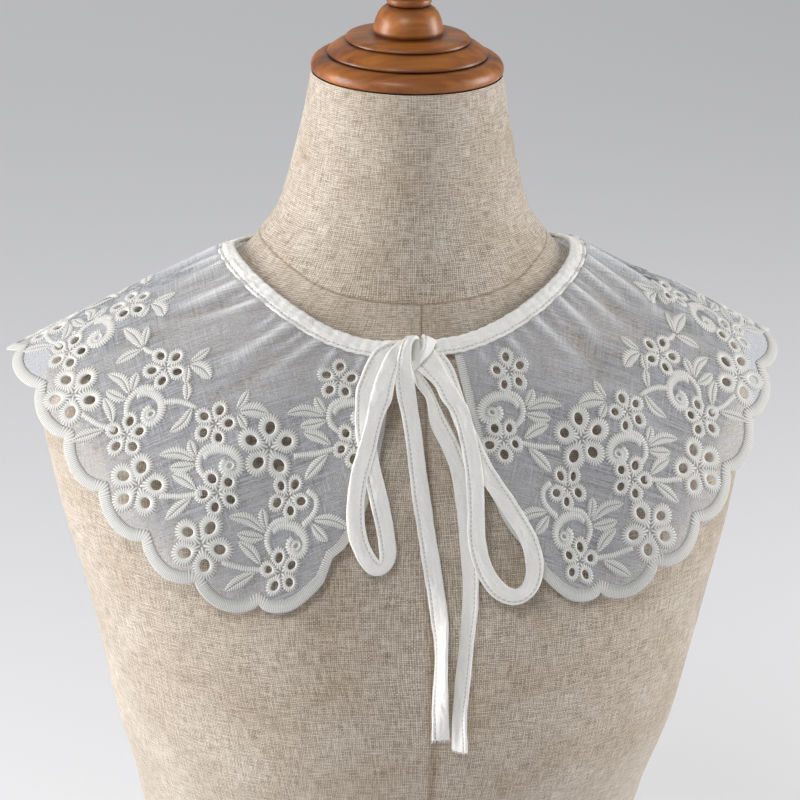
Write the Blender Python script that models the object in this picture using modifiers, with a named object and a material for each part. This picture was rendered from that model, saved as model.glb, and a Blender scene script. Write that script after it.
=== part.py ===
"""Eyelet-lace cape collar with a tied bow, resting on a limbless dress form.

The collar is a wide cape of cotton voile with a scalloped, satin-stitched edge, pierced with
embroidered eyelets. A narrow folded strip binds its neckline and ties in a bow at the front.
Axes: the front of the form faces -Y, +Z is up, and the origin is at the centre of the base
board's underside. Sizes are in millimetres, and MM turns them to metres.
"""
import math

import bmesh
import bpy
from mathutils import Vector
from mathutils.geometry import delaunay_2d_cdt

MM = 0.001

# Driving dimensions
NECK_LEVEL = 575.0          # height of the side-neck points above the table
SEAM_GAP = 0.3              # clearance between pieces that touch
CLOTH = 1.2                 # modelled wall of the voile collar
STRIP = 2.0                 # thickness of the folded binding and ties
STRIP_WIDTH = 9.5           # finished width of the binding and ties
BOARD_HEIGHT = 16.0
BOARD_RIM = 3.0             # the board stands this far proud of the torso's lower edge
SECTION_POINTS = 40         # points round each section of the form
FORM_RING_GAP = 32.0        # a wider space between rows of the form takes a ring halfway
NECK_HALF_X = 102.0         # neckline ellipse, half width
NECK_FRONT = 82.0           # neckline ellipse, depth in front of the neck's axis
NECK_BACK = 75.0            # and behind it
FRONT_START = 9.4           # degrees from centre front where each collar half begins
LOBES = 15                  # scallops along the edge of each half
LOBE_DEPTH = 7.0
LOBE_ROUND = 0.7            # below 1 the scallops are fuller than a sine wave
LOBE_POINTS = 6             # points along each scallop
PATTERN_ANGLE = 2.0         # radians spanned by each half when it lies flat
PATTERN_INNER = 152.0       # radius of the neckline when it lies flat
GATHERS = 15                # pleats at the neckline of each half
GATHER_POINTS = 4           # points along each pleat
GATHER_HEIGHT = 1.3
GATHER_FADE = 26.0          # the pleats die away over this length
GATHER_SHARE = 0.42         # they are deepest at this share of the way round
GATHER_SPREAD = 0.3
CROWN_FRONT = 7.0           # how far the cape bellies outward over the chest and the back
CROWN_SHOULDER = 1.0        # and on the shoulder ridge
SHOULDER_SHARE = 0.52       # where the ridge lies, as a share of the way round
SHOULDER_SPREAD = 0.16

# The form: height from the side-neck level, half width, front and back depth, and the
# exponent of the section's superellipse (2 is an ellipse, more is squarer)
FORM_COLUMNS = ("height", "half_width", "front", "back", "exponent")
FORM = (
    (-559.0, 176.0, 116.0, 126.0, 2.2),
    (-500.0, 177.0, 117.0, 127.0, 2.2),
    (-440.0, 160.0, 110.0, 112.0, 2.2),
    (-375.0, 137.0, 103.0, 97.0, 2.2),
    (-315.0, 146.0, 124.0, 110.0, 2.2),
    (-262.0, 160.0, 147.0, 126.0, 2.3),
    (-222.0, 168.0, 150.0, 135.0, 2.4),
    (-180.0, 178.0, 138.0, 138.0, 2.5),
    (-150.0, 187.0, 128.0, 136.0, 2.4),
    (-120.0, 194.0, 116.5, 129.0, 2.25),
    (-95.0, 199.0, 106.5, 119.0, 2.0),
    (-78.0, 200.0, 99.0, 110.0, 1.8),
    (-62.0, 194.0, 91.5, 101.0, 1.7),
    (-48.0, 179.0, 84.5, 90.0, 1.65),
    (-36.0, 159.0, 77.0, 80.0, 1.62),
    (-22.0, 132.0, 71.0, 71.0, 1.6),
    (-11.0, 108.0, 68.0, 66.0, 1.7),
    (-2.0, 89.0, 66.0, 62.0, 1.9),
    (9.0, 79.0, 63.5, 60.0, 2.0),
    (24.0, 69.0, 60.5, 58.0, 2.0),
    (69.0, 57.2, 54.7, 54.7, 2.0),
    (98.9, 51.9, 51.9, 51.9, 2.0),
)

# The nominal edge of one half of the collar, from the centre front to the centre back:
# across, depth, and height from the side-neck level
COLLAR_COLUMNS = ("x", "y", "z")
COLLAR = (
    (36.0, -128.0, -146.0), (57.0, -131.0, -149.5), (78.0, -130.5, -160.0),
    (100.0, -126.0, -163.5), (134.0, -115.0, -150.0), (160.0, -95.0, -131.5),
    (179.0, -75.0, -112.0), (194.5, -54.0, -91.5), (207.5, -28.0, -73.0),
    (216.5, 4.0, -61.0), (215.0, 36.0, -66.0), (202.0, 68.0, -80.0), (173.0, 98.0, -98.0),
    (131.0, 122.0, -115.0), (86.0, 135.0, -126.0), (40.0, 141.0, -132.0), (0.0, 143.0, -134.0),
)

# Height of the neckline by degrees from the centre front
NECKLINE_COLUMNS = ("degrees", "z")
NECKLINE = (
    (0.0, -38.0), (15.0, -35.0), (30.0, -27.5), (45.0, -18.0), (60.0, -10.0), (75.0, -4.5),
    (90.0, -2.5), (105.0, -5.0), (120.0, -8.5), (150.0, -14.0), (180.0, -16.0),
)

# The neckline hangs lower on the viewer's left: how much, by degrees from the centre front.
# The drop dies away down the cape
DROOP_COLUMNS = ("degrees", "drop")
DROOP = (
    (0.0, 0.0), (10.0, 1.2), (20.0, 3.8), (32.0, 5.2), (45.0, 4.6), (60.0, 2.8), (75.0, 1.0),
    (90.0, 0.0), (180.0, 0.0),
)
DROOP_REACH = 60.0

# The front edge of each half on the flat pattern: distance down from the neckline, and how
# far it swings outward from the first radial line
FRONT_EDGE_COLUMNS = ("down", "swing")
FRONT_EDGE = (
    (0.0, 0.0), (30.0, 0.5), (55.0, 2.0), (85.0, 6.5), (104.0, 14.0), (113.0, 22.0),
)

# The embroidered sprigs of one half, from the front round to the centre back. Each has an
# upper, a lower and a large flower, placed by share of the way round and distance down, and
# turned by the degrees from straight down the cape to its first eyelet
SPRIG_COLUMNS = (
    "upper_share", "upper_down", "upper_turn", "lower_share", "lower_down", "lower_turn",
    "large_share", "large_down", "large_turn",
)
SPRIGS = (
    (0.090, 17.0, 26.0, 0.040, 50.0, 58.0, 0.153, 67.0, 14.0),
    (0.108, 86.5, 46.0, 0.093, 125.5, 10.0, 0.178, 129.0, 38.0),
    (0.228, 70.0, 21.0, 0.186, 100.5, 57.0, 0.266, 120.0, 15.0),
    (0.331, 61.5, 39.0, 0.311, 102.5, 4.0, 0.390, 107.5, 27.0),
    (0.456, 54.5, 32.0, 0.440, 96.5, 70.0, 0.511, 102.0, 18.0),
    (0.570, 56.0, 44.0, 0.558, 98.0, 8.0, 0.630, 105.0, 36.0),
    (0.690, 60.0, 24.0, 0.677, 102.0, 58.0, 0.748, 110.0, 15.0),
    (0.808, 62.0, 40.0, 0.796, 104.0, 6.0, 0.868, 113.0, 28.0),
    (0.925, 62.0, 28.0, 0.912, 104.0, 62.0, 0.960, 132.0, 20.0),
)
PETALS = 5
BACK_STEPS = 8              # points down the centre back
FRONT_STEPS = 9             # and down the front edge

# A flower: distance from its middle to the eyelets, and each eyelet's length and width
FLOWER_COLUMNS = ("ring", "long", "wide")
SMALL_FLOWER = (7.8, 5.6, 4.6)
LARGE_FLOWER = (10.4, 7.0, 5.8)
FLOWER_SIZES = {"upper": SMALL_FLOWER, "lower": SMALL_FLOWER, "large": LARGE_FLOWER}
EYELET_CORNERS = 6

# Strips of the bow, down their middle line: across, height from the side-neck level, how
# far they stand in front of the chest, and the lean of the strip's face in degrees
STRIP_COLUMNS = ("x", "z", "stand", "lean")


def read(columns, rows):
    """Name the values of each row of a table."""
    return [dict(zip(columns, row)) for row in rows]


def smooth(x, knots):
    """Read at x the smooth curve that runs through (x, value) knots."""
    if x <= knots[0][0]:
        return knots[0][1]
    if x >= knots[-1][0]:
        return knots[-1][1]
    spot = max(i for i, knot in enumerate(knots) if knot[0] <= x)
    before, low, high = knots[max(spot - 1, 0)], knots[spot], knots[spot + 1]
    after = knots[min(spot + 2, len(knots) - 1)]
    span = high[0] - low[0]
    t = (x - low[0]) / span
    slope_low = (high[1] - before[1]) / (high[0] - before[0]) * span
    slope_high = (after[1] - low[1]) / (after[0] - low[0]) * span
    return (
        (2 * t**3 - 3 * t**2 + 1) * low[1] + (t**3 - 2 * t**2 + t) * slope_low
        + (3 * t**2 - 2 * t**3) * high[1] + (t**3 - t**2) * slope_high
    )


def column(table, key, value):
    """Take two columns of a named table as knots."""
    return [(row[key], row[value]) for row in table]


def shared_knots(rows):
    """Knots of x, y and z against the share of the length along the rows' points."""
    spots = [Vector((row["x"], row["y"], row["z"])) for row in rows]
    lengths = [0.0]
    for before, spot in zip(spots, spots[1:]):
        lengths.append(lengths[-1] + (spot - before).length)
    shares = [length / lengths[-1] for length in lengths]
    return {axis: [(share, row[axis]) for share, row in zip(shares, rows)] for axis in "xyz"}


FORM_TABLE = read(FORM_COLUMNS, FORM)
COLLAR_TABLE = read(COLLAR_COLUMNS, COLLAR)
NECK_KNOTS = column(read(NECKLINE_COLUMNS, NECKLINE), "degrees", "z")
EDGE_KNOTS = shared_knots(COLLAR_TABLE)
DROOP_KNOTS = column(read(DROOP_COLUMNS, DROOP), "degrees", "drop")
SWING_KNOTS = column(read(FRONT_EDGE_COLUMNS, FRONT_EDGE), "down", "swing")
FORM_KNOTS = {key: column(FORM_TABLE, "height", key) for key in FORM_COLUMNS[1:]}


def material(name, colour, roughness, metallic=0.0):
    made = bpy.data.materials.new(name)
    made.use_nodes = True
    shader = made.node_tree.nodes["Principled BSDF"]
    shader.inputs["Base Color"].default_value = (*colour, 1.0)
    shader.inputs["Roughness"].default_value = roughness
    shader.inputs["Metallic"].default_value = metallic
    return made


def place(name, collection, finish, points=(), faces=(), mesh=None):
    """Put a piece in the collection, its points given in millimetres from the neck level."""
    if mesh is None:
        mesh = bpy.data.meshes.new(name)
        mesh.from_pydata([(x * MM, y * MM, (z + NECK_LEVEL) * MM) for x, y, z in points], [], faces)
    mesh.update()
    made = bpy.data.objects.new(name, mesh)
    made.data.materials.append(finish)
    collection.objects.link(made)
    return made


def face_outward(mesh):
    shape = bmesh.new()
    shape.from_mesh(mesh)
    bmesh.ops.recalc_face_normals(shape, faces=shape.faces)
    shape.to_mesh(mesh)
    shape.free()


def round_shading(piece, degrees=40.0):
    piece.data.shade_smooth()
    piece.data.set_sharp_from_angle(angle=math.radians(degrees))


def superellipse(angle, half_width, front, back, exponent):
    """Point on a section of the form, the angle counted from the centre front."""
    across, along = math.sin(angle), -math.cos(angle)
    power = 2.0 / exponent
    depth = front if along < 0 else back
    x = math.copysign(abs(across) ** power, across) * half_width
    y = math.copysign(abs(along) ** power, along) * depth
    return x, y


def form_section(height):
    return {key: smooth(height, knots) for key, knots in FORM_KNOTS.items()}


def chest(x, height):
    """Depth of the form's front surface at a point across and a height."""
    section = form_section(height)
    share = min(abs(x) / section["half_width"], 1.0)
    power = section["exponent"]
    return -section["front"] * (1.0 - share**power) ** (1.0 / power)


def loft(name, collection, finish, sections, closed_ends=True):
    """Join rings of equal count into one closed skin."""
    count = len(sections[0])
    points = [point for ring in sections for point in ring]
    faces = []
    for row in range(len(sections) - 1):
        low, high = row * count, (row + 1) * count
        for i in range(count):
            j = (i + 1) % count
            faces.append((low + i, low + j, high + j, high + i))
    if closed_ends:
        faces.append(tuple(range(count)))
        faces.append(tuple(range(len(points) - count, len(points))))
    piece = place(name, collection, finish, points, faces)
    face_outward(piece.data)
    return piece


def build_form(collection, linen):
    """The stuffed torso: a ring at each row of the table, and between rows that lie far apart."""
    levels = [row["height"] for row in FORM_TABLE]
    levels += [(a + b) / 2 for a, b in zip(levels, levels[1:]) if b - a > FORM_RING_GAP]
    rings = []
    for level in sorted(levels):
        shape = form_section(level).values()
        outline = [superellipse(math.tau * i / SECTION_POINTS, *shape) for i in range(SECTION_POINTS)]
        rings.append([(x, y, level) for x, y in outline])
    round_shading(loft("form_body", collection, linen, rings), 60.0)


def build_board(collection, wood):
    low = FORM_TABLE[0]
    shape = [
        low["half_width"] + BOARD_RIM, low["front"] + BOARD_RIM, low["back"] + BOARD_RIM,
        low["exponent"],
    ]
    outline = [superellipse(math.tau * i / SECTION_POINTS, *shape) for i in range(SECTION_POINTS)]
    rings = [
        [(x, y, height) for x, y in outline]
        for height in (-NECK_LEVEL, -NECK_LEVEL + BOARD_HEIGHT - SEAM_GAP)
    ]
    loft("base_board", collection, wood, rings)


# Turned cap of the neck: radius, and height above its underside
CAP_COLUMNS = ("radius", "height")
CAP = (
    (0.0, 52.0), (6.0, 51.0), (9.5, 47.2), (10.0, 43.6), (8.6, 41.6), (11.4, 41.0), (12.3, 39.2),
    (11.4, 37.0), (10.8, 36.4), (14.6, 34.2), (17.6, 29.0), (18.9, 23.6), (18.6, 20.6),
    (27.0, 20.2), (32.6, 19.4), (33.8, 18.2), (33.0, 17.2), (38.6, 14.6), (42.6, 11.8),
    (43.5, 10.4), (42.8, 9.3), (48.8, 8.2), (51.8, 5.2), (52.3, 2.6), (51.4, 0.0), (0.0, 0.0),
)
CAP_STEPS = 28


def build_cap(collection, wood):
    seat = FORM_TABLE[-1]["height"] + SEAM_GAP
    profile = bpy.data.meshes.new("neck_cap")
    points = [
        (row["radius"] * MM, 0.0, row["height"] * MM) for row in read(CAP_COLUMNS, CAP)
    ]
    profile.from_pydata(points, [(i, i + 1) for i in range(len(points) - 1)], [])
    cap = place("neck_cap", collection, wood, mesh=profile)
    cap.location.z = (NECK_LEVEL + seat) * MM
    screw = cap.modifiers.new("turning", "SCREW")
    screw.steps = CAP_STEPS
    screw.render_steps = CAP_STEPS
    screw.use_merge_vertices = True
    screw.merge_threshold = 0.00001


def neck_point(degrees, out=0.0):
    """Point on the neckline, or that far outside it in plan."""
    turn = math.radians(degrees)
    x = (NECK_HALF_X + out) * math.sin(turn)
    y = -((NECK_FRONT if degrees < 90.0 else NECK_BACK) + out) * math.cos(turn)
    return Vector((x, y, smooth(degrees, NECK_KNOTS)))


def droop(degrees, down=0.0):
    """How much lower the viewer's left half hangs."""
    return smooth(degrees, DROOP_KNOTS) * max(1.0 - down / DROOP_REACH, 0.0) ** 2


def neckline_knots(steps=90):
    """Degrees of the neckline against the share of its length."""
    degrees = [FRONT_START + (180.0 - FRONT_START) * i / steps for i in range(steps + 1)]
    lengths = [0.0]
    for i in range(steps):
        lengths.append(lengths[-1] + (neck_point(degrees[i + 1]) - neck_point(degrees[i])).length)
    return [(length / lengths[-1], angle) for length, angle in zip(lengths, degrees)]


NECK_SHARE = neckline_knots()


def radial(share):
    """Both ends of the line down the cape at a share of the way round, and its length."""
    if share > 1.0:
        start, end, length = radial(2.0 - share)
        return Vector((-start.x, start.y, start.z)), Vector((-end.x, end.y, end.z)), length
    start = neck_point(smooth(share, NECK_SHARE))
    end = Vector([smooth(share, EDGE_KNOTS[axis]) for axis in "xyz"])
    return start, end, (end - start).length


def cape_point(share, down, out=0.0):
    """Point of the cape: crowned between neckline and edge, and gathered at the neckline."""
    start, end, length = radial(share)
    step = 0.004
    ahead, behind = radial(share + step), radial(max(share - step, 0.0))
    t = down / length
    along = ahead[0].lerp(ahead[1], t) - behind[0].lerp(behind[1], t)
    normal = (end - start).cross(along).normalized()
    if normal.z < 0:
        normal.negate()
    ridge = math.exp(-((share - SHOULDER_SHARE) / SHOULDER_SPREAD) ** 2)
    crown = CROWN_FRONT + (CROWN_SHOULDER - CROWN_FRONT) * ridge
    lift = crown * 4.0 * t * (1.0 - min(t, 1.0))
    fade = math.exp(-down / GATHER_FADE - ((share - GATHER_SHARE) / GATHER_SPREAD) ** 2)
    wave = GATHER_HEIGHT * fade * (1.0 - math.cos(math.tau * GATHERS * share))
    return start.lerp(end, t) + normal * (lift + wave + out)


def flat(share, down):
    """Place on the flat pattern: an arc of a ring round the neckline's centre."""
    radius = PATTERN_INNER + down
    angle = share * PATTERN_ANGLE
    return Vector((radius * math.cos(angle), radius * math.sin(angle)))


def unflat(spot):
    """Share of the way round and distance down, from a place on the flat pattern."""
    return math.atan2(spot.y, spot.x) / PATTERN_ANGLE, spot.length - PATTERN_INNER


def width_at(share):
    return radial(share)[2]


def edge_start():
    """Share at which the scallops begin, below the swung front edge."""
    return FRONT_EDGE[-1][1] / (PATTERN_INNER + FRONT_EDGE[-1][0]) / PATTERN_ANGLE


def outline():
    """Flat outline of one half: neckline, centre back, scalloped edge and front edge."""
    loop = []
    neck_steps = GATHERS * GATHER_POINTS
    loop += [flat(i / neck_steps, 0.0) for i in range(neck_steps)]
    back = width_at(1.0) - LOBE_DEPTH
    loop += [flat(1.0, back * i / BACK_STEPS) for i in range(BACK_STEPS)]
    first = edge_start()
    total = LOBES * LOBE_POINTS
    for i in range(total + 1):
        share = 1.0 - (1.0 - first) * i / total
        dip = 1.0 - math.sin(math.pi * (i % LOBE_POINTS) / LOBE_POINTS) ** LOBE_ROUND
        loop.append(flat(share, width_at(share) - LOBE_DEPTH * dip))
    for step in range(FRONT_STEPS, 0, -1):
        down = FRONT_EDGE[-1][0] * step / FRONT_STEPS
        swing = smooth(down, SWING_KNOTS)
        loop.append(flat(swing / (PATTERN_INNER + down) / PATTERN_ANGLE, down))
    return loop


def flowers():
    """Middle, size and turn of every flower of one half, on the flat pattern."""
    found = []
    for sprig in read(SPRIG_COLUMNS, SPRIGS):
        for part, size in FLOWER_SIZES.items():
            share = sprig[part + "_share"]
            turn = share * PATTERN_ANGLE + math.radians(sprig[part + "_turn"])
            middle = flat(share, sprig[part + "_down"])
            found.append((middle, dict(zip(FLOWER_COLUMNS, size)), turn))
    return found


def eyelets():
    """Outlines of the eyelets that are cut through one half, each a small hexagon."""
    holes = []
    for middle, size, first_turn in flowers():
        for petal in range(PETALS):
            turn = first_turn + math.tau * petal / PETALS
            outward = Vector((math.cos(turn), math.sin(turn)))
            sideways = Vector((-outward.y, outward.x))
            centre = middle + outward * size["ring"]
            holes.append([
                centre
                + outward * math.cos(math.tau * corner / EYELET_CORNERS) * size["long"] / 2
                + sideways * math.sin(math.tau * corner / EYELET_CORNERS) * size["wide"] / 2
                for corner in range(EYELET_CORNERS)
            ])
    return holes


def inside(spot, loop):
    """Whether a flat place lies within an outline."""
    hit = False
    for a, b in zip(loop, loop[1:] + loop[:1]):
        if (a.y > spot.y) != (b.y > spot.y):
            hit ^= spot.x < (b.x - a.x) * (spot.y - a.y) / (b.y - a.y) + a.x
    return hit


def nearest(spot, loops):
    return min((spot - point).length for loop in loops for point in loop)


# Loose points of a half's mesh: rows below the neckline, then an even grid, and how far each
# kind stays from the eyelets and the outline
GATHER_ROWS = (6.0, 14.0, 25.0)
GATHER_CLEAR = 2.5
GRID = 18.0
GRID_CLEAR = 6.5


def inner_points(loop, holes):
    """Points within the outline that let the wall bend: gather rows, then an even grid."""
    points = [
        flat((i + 0.5 * (row % 2)) / (GATHERS * GATHER_POINTS), down)
        for row, down in enumerate(GATHER_ROWS) for i in range(1, GATHERS * GATHER_POINTS)
    ]
    points = [p for p in points if inside(p, loop) and nearest(p, holes + [loop]) > GATHER_CLEAR]
    longest = max(width_at(i / 10) for i in range(11))
    rows = int((longest - GATHER_ROWS[-1]) / GRID)
    for row in range(1, rows + 1):
        down = GATHER_ROWS[-1] + row * GRID
        count = int((PATTERN_INNER + down) * PATTERN_ANGLE / GRID)
        for i in range(count):
            spot = flat((i + 0.5 * (row % 2) + 0.25) / count, down)
            if inside(spot, loop) and nearest(spot, holes + [loop]) > GRID_CLEAR:
                points.append(spot)
    return points


def build_panel(name, collection, voile, side):
    """One half of the cape, cut flat with its eyelets and then laid round the shoulders."""
    loop, holes = outline(), eyelets()
    spots, edges, owner = [], [], []
    for number, ring in enumerate([loop] + holes):
        first = len(spots)
        spots += ring
        owner += [number] * len(ring)
        edges += [(first + i, first + (i + 1) % len(ring)) for i in range(len(ring))]
    loose = inner_points(loop, holes)
    spots += loose
    owner += [-1] * len(loose)
    verts, _, faces, origins, _, _ = delaunay_2d_cdt(spots, edges, [], 1, 0.0001)
    homes = [owner[origin[0]] if origin else -1 for origin in origins]
    kept = []
    for face in faces:
        rings = {homes[i] for i in face}
        if len(rings) == 1 and rings.pop() > 0:
            continue
        kept.append(tuple(face) if side > 0 else tuple(reversed(face)))
    points = []
    for spot in verts:
        share, down = unflat(spot)
        point = cape_point(share, down)
        half_gap = SEAM_GAP / 2 if share > 0.9999 else 0.0
        drop = droop(smooth(share, NECK_SHARE), down) if side < 0 else 0.0
        points.append((side * (point.x + half_gap), point.y, point.z - drop))
    panel = place(name, collection, voile, points, kept)
    shape = bmesh.new()
    shape.from_mesh(panel.data)
    stray = [vertex for vertex in shape.verts if not vertex.link_faces]
    bmesh.ops.delete(shape, geom=stray, context="VERTS")
    bmesh.ops.recalc_face_normals(shape, faces=shape.faces)
    up = sum(face.normal.z * face.calc_area() for face in shape.faces)
    if up < 0:
        bmesh.ops.reverse_faces(shape, faces=shape.faces)
    shape.to_mesh(panel.data)
    shape.free()
    wall = panel.modifiers.new("voile", "SOLIDIFY")
    wall.thickness = CLOTH * MM
    wall.offset = 1.0
    round_shading(panel)


def ribbon(name, collection, finish, middles, across, thickness):
    """A flat strip of cloth: its middle line, its width vectors and its thickness."""
    rings = []
    for i, (middle, side) in enumerate(zip(middles, across)):
        ahead, behind = middles[min(i + 1, len(middles) - 1)], middles[max(i - 1, 0)]
        face = (ahead - behind).cross(side).normalized() * thickness / 2
        rings.append([
            tuple(middle + side + face), tuple(middle - side + face),
            tuple(middle - side - face), tuple(middle + side - face),
        ])
    return loft(name, collection, finish, rings)


BINDING_POINTS = 72
BINDING_LEFT = 7.6          # degrees from the centre front where the strip enters the knot
BINDING_RIGHT = 4.0
BINDING_LEAN = 0.55         # the strip leans inward less steeply than the cape falls


def build_binding(collection, cotton):
    """The folded strip round the neckline, lying just inside the cape's gathered edge."""
    middles, across = [], []
    for i in range(BINDING_POINTS + 1):
        span = 360.0 - BINDING_RIGHT - BINDING_LEFT
        turn = BINDING_RIGHT + span * i / BINDING_POINTS
        degrees = min(turn, 360.0 - turn)
        mirror = 1.0 if turn < 180.0 else -1.0
        outer = neck_point(degrees, -SEAM_GAP)
        share = max((degrees - FRONT_START) / (180.0 - FRONT_START), 0.0)
        start, end, _ = radial(min(share, 1.0))
        slope = (start - end).normalized()
        slope.z *= BINDING_LEAN
        half = slope.normalized() * STRIP_WIDTH / 2
        middle = outer + half + Vector((0.0, 0.0, STRIP / 2))
        if turn > 180.0:
            middle.z -= droop(degrees)
        middles.append(Vector((mirror * middle.x, middle.y, middle.z)))
        across.append(Vector((mirror * half.x, half.y, half.z)))
    ribbon("neck_binding", collection, cotton, middles, across, STRIP)


def strip_line(rows, steps):
    """Middle line and width vectors of a strip of the bow, laid in front of the chest."""
    table = read(STRIP_COLUMNS, rows)
    middles, across = [], []
    last = len(table) - 1
    for i in range(steps + 1):
        spot = last * i / steps
        value = {
            key: smooth(spot, [(n, row[key]) for n, row in enumerate(table)])
            for key in STRIP_COLUMNS
        }
        depth = chest(value["x"], value["z"]) - value["stand"]
        middles.append(Vector((value["x"], depth, value["z"])))
        across.append(math.radians(value["lean"]))
    widths = []
    for i, lean in enumerate(across):
        run = middles[min(i + 1, steps)] - middles[max(i - 1, 0)]
        side = Vector((run.z, 0.0, -run.x)).normalized()
        toward = run.cross(side).normalized()
        widths.append((side * math.cos(lean) + toward * math.sin(lean)) * STRIP_WIDTH / 2)
    return middles, widths


LOOP_LEFT = (
    (-12.4, -36.0, 13.4, 5.0), (-22.5, -43.0, 18.5, 5.0), (-28.8, -58.5, 18.5, 0.0),
    (-33.5, -73.5, 18.0, 0.0), (-39.3, -90.0, 18.0, 0.0), (-41.6, -106.0, 17.0, 0.0),
    (-40.3, -120.0, 15.0, 0.0), (-34.5, -132.5, 12.0, 0.0), (-28.6, -137.2, 8.0, 10.0),
    (-24.0, -132.0, 6.8, 10.0), (-25.0, -118.5, 7.5, 0.0), (-28.0, -103.5, 11.5, 0.0),
    (-31.0, -90.0, 13.8, 0.0), (-33.5, -77.0, 14.0, 0.0), (-35.0, -64.5, 14.0, 0.0),
    (-34.0, -51.0, 14.0, 0.0), (-28.5, -39.5, 13.5, 5.0), (-17.5, -33.0, 12.5, 10.0),
)
LOOP_RIGHT = (
    (3.2, -39.0, 13.4, 5.0), (10.0, -47.0, 16.8, 5.0), (16.5, -59.5, 16.5, 0.0),
    (20.2, -74.0, 16.0, 0.0), (22.6, -90.0, 15.0, 0.0), (23.2, -108.0, 12.5, 0.0),
    (23.3, -124.5, 11.5, 0.0), (27.5, -139.5, 10.5, 0.0), (35.5, -150.3, 9.0, 0.0),
    (44.6, -153.5, 9.0, 0.0), (52.0, -148.3, 10.0, 0.0), (54.4, -137.5, 11.5, 0.0),
    (51.2, -124.0, 12.8, 0.0), (43.2, -110.5, 12.8, 0.0), (34.1, -97.0, 12.5, 0.0),
    (26.7, -85.5, 11.8, 0.0), (21.1, -73.0, 11.2, 0.0), (15.5, -58.5, 11.0, 0.0),
    (8.5, -43.5, 9.5, 5.0),
)
TAIL_FRONT = (
    (-7.5, -43.6, 9.0, 0.0), (-10.1, -54.0, 9.8, 0.0), (-8.6, -69.5, 9.0, 0.0),
    (-6.8, -88.5, 8.0, 0.0), (-4.8, -106.0, 7.0, 0.0), (-2.3, -125.0, 6.5, 0.0),
    (-0.1, -141.0, 6.0, 0.0), (2.2, -157.5, 5.5, 15.0), (3.4, -172.0, 5.5, 45.0),
    (3.4, -185.5, 5.5, 60.0), (2.6, -199.0, 5.5, 50.0), (2.3, -212.5, 5.0, 25.0),
    (2.8, -227.0, 4.0, 0.0),
)
TAIL_BACK = (
    (-1.6, -43.0, 5.4, 0.0), (0.1, -54.5, 4.0, 0.0), (5.9, -67.5, 3.5, 0.0),
    (11.7, -79.0, 3.0, 0.0), (16.3, -91.5, 2.8, 0.0), (18.6, -106.5, 2.8, 5.0),
    (19.7, -124.0, 3.5, 20.0), (20.4, -139.5, 4.0, 30.0), (20.1, -155.5, 4.5, 40.0),
    (18.0, -171.5, 5.0, 50.0), (16.1, -186.5, 5.0, 50.0), (14.2, -201.0, 5.0, 50.0),
    (12.7, -216.0, 5.0, 50.0), (13.2, -234.0, 4.5, 40.0),
)


def build_bow(collection, cotton):
    """Two hanging loops, two tails and the knot that they all leave."""
    strips = {
        "bow_loop_left": (LOOP_LEFT, 60), "bow_loop_right": (LOOP_RIGHT, 60),
        "tie_tail_front": (TAIL_FRONT, 30), "tie_tail_back": (TAIL_BACK, 30),
    }
    for name, (rows, steps) in strips.items():
        middles, widths = strip_line(rows, steps)
        ribbon(name, collection, cotton, middles, widths, STRIP)


KNOT_COLUMNS = ("half_width", "half_height", "half_depth", "x", "z", "stand")
KNOT = (11.0, 9.5, 7.2, -3.5, -33.5, 9.1)


def build_knot(collection, cotton):
    """The knot: a plump rounded lump of wrapped strip."""
    knot = dict(zip(KNOT_COLUMNS, KNOT))
    shape = bmesh.new()
    bmesh.ops.create_icosphere(shape, subdivisions=2, radius=1.0)
    for vertex in shape.verts:
        vertex.co.x *= knot["half_width"] * MM
        vertex.co.y *= knot["half_depth"] * MM
        vertex.co.z *= knot["half_height"] * MM
    mesh = bpy.data.meshes.new("bow_knot")
    shape.to_mesh(mesh)
    shape.free()
    piece = place("bow_knot", collection, cotton, mesh=mesh)
    piece.location = (
        knot["x"] * MM, (chest(knot["x"], knot["z"]) - knot["stand"]) * MM,
        (knot["z"] + NECK_LEVEL) * MM,
    )
    round_shading(piece)


def main():
    for old in list(bpy.data.objects):
        bpy.data.objects.remove(old, do_unlink=True)
    collection = bpy.data.collections.new("lace_collar_on_form")
    bpy.context.scene.collection.children.link(collection)
    voile = material("cotton_voile", (0.86, 0.85, 0.81), 0.85)
    cotton = material("folded_cotton", (0.84, 0.82, 0.77), 0.85)
    linen = material("form_linen", (0.58, 0.50, 0.40), 0.9)
    wood = material("turned_wood", (0.36, 0.12, 0.04), 0.35)
    build_board(collection, wood)
    build_form(collection, linen)
    build_cap(collection, wood)
    build_panel("collar_panel_left", collection, voile, -1)
    build_panel("collar_panel_right", collection, voile, 1)
    build_binding(collection, cotton)
    build_knot(collection, cotton)
    build_bow(collection, cotton)


main()
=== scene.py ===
"""Dresses the lace collar and its dress form with their cloth, embroidery and wood."""

import math

import bmesh
import bpy
import numpy as np
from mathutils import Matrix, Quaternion, Vector
from mathutils.geometry import delaunay_2d_cdt


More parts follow.
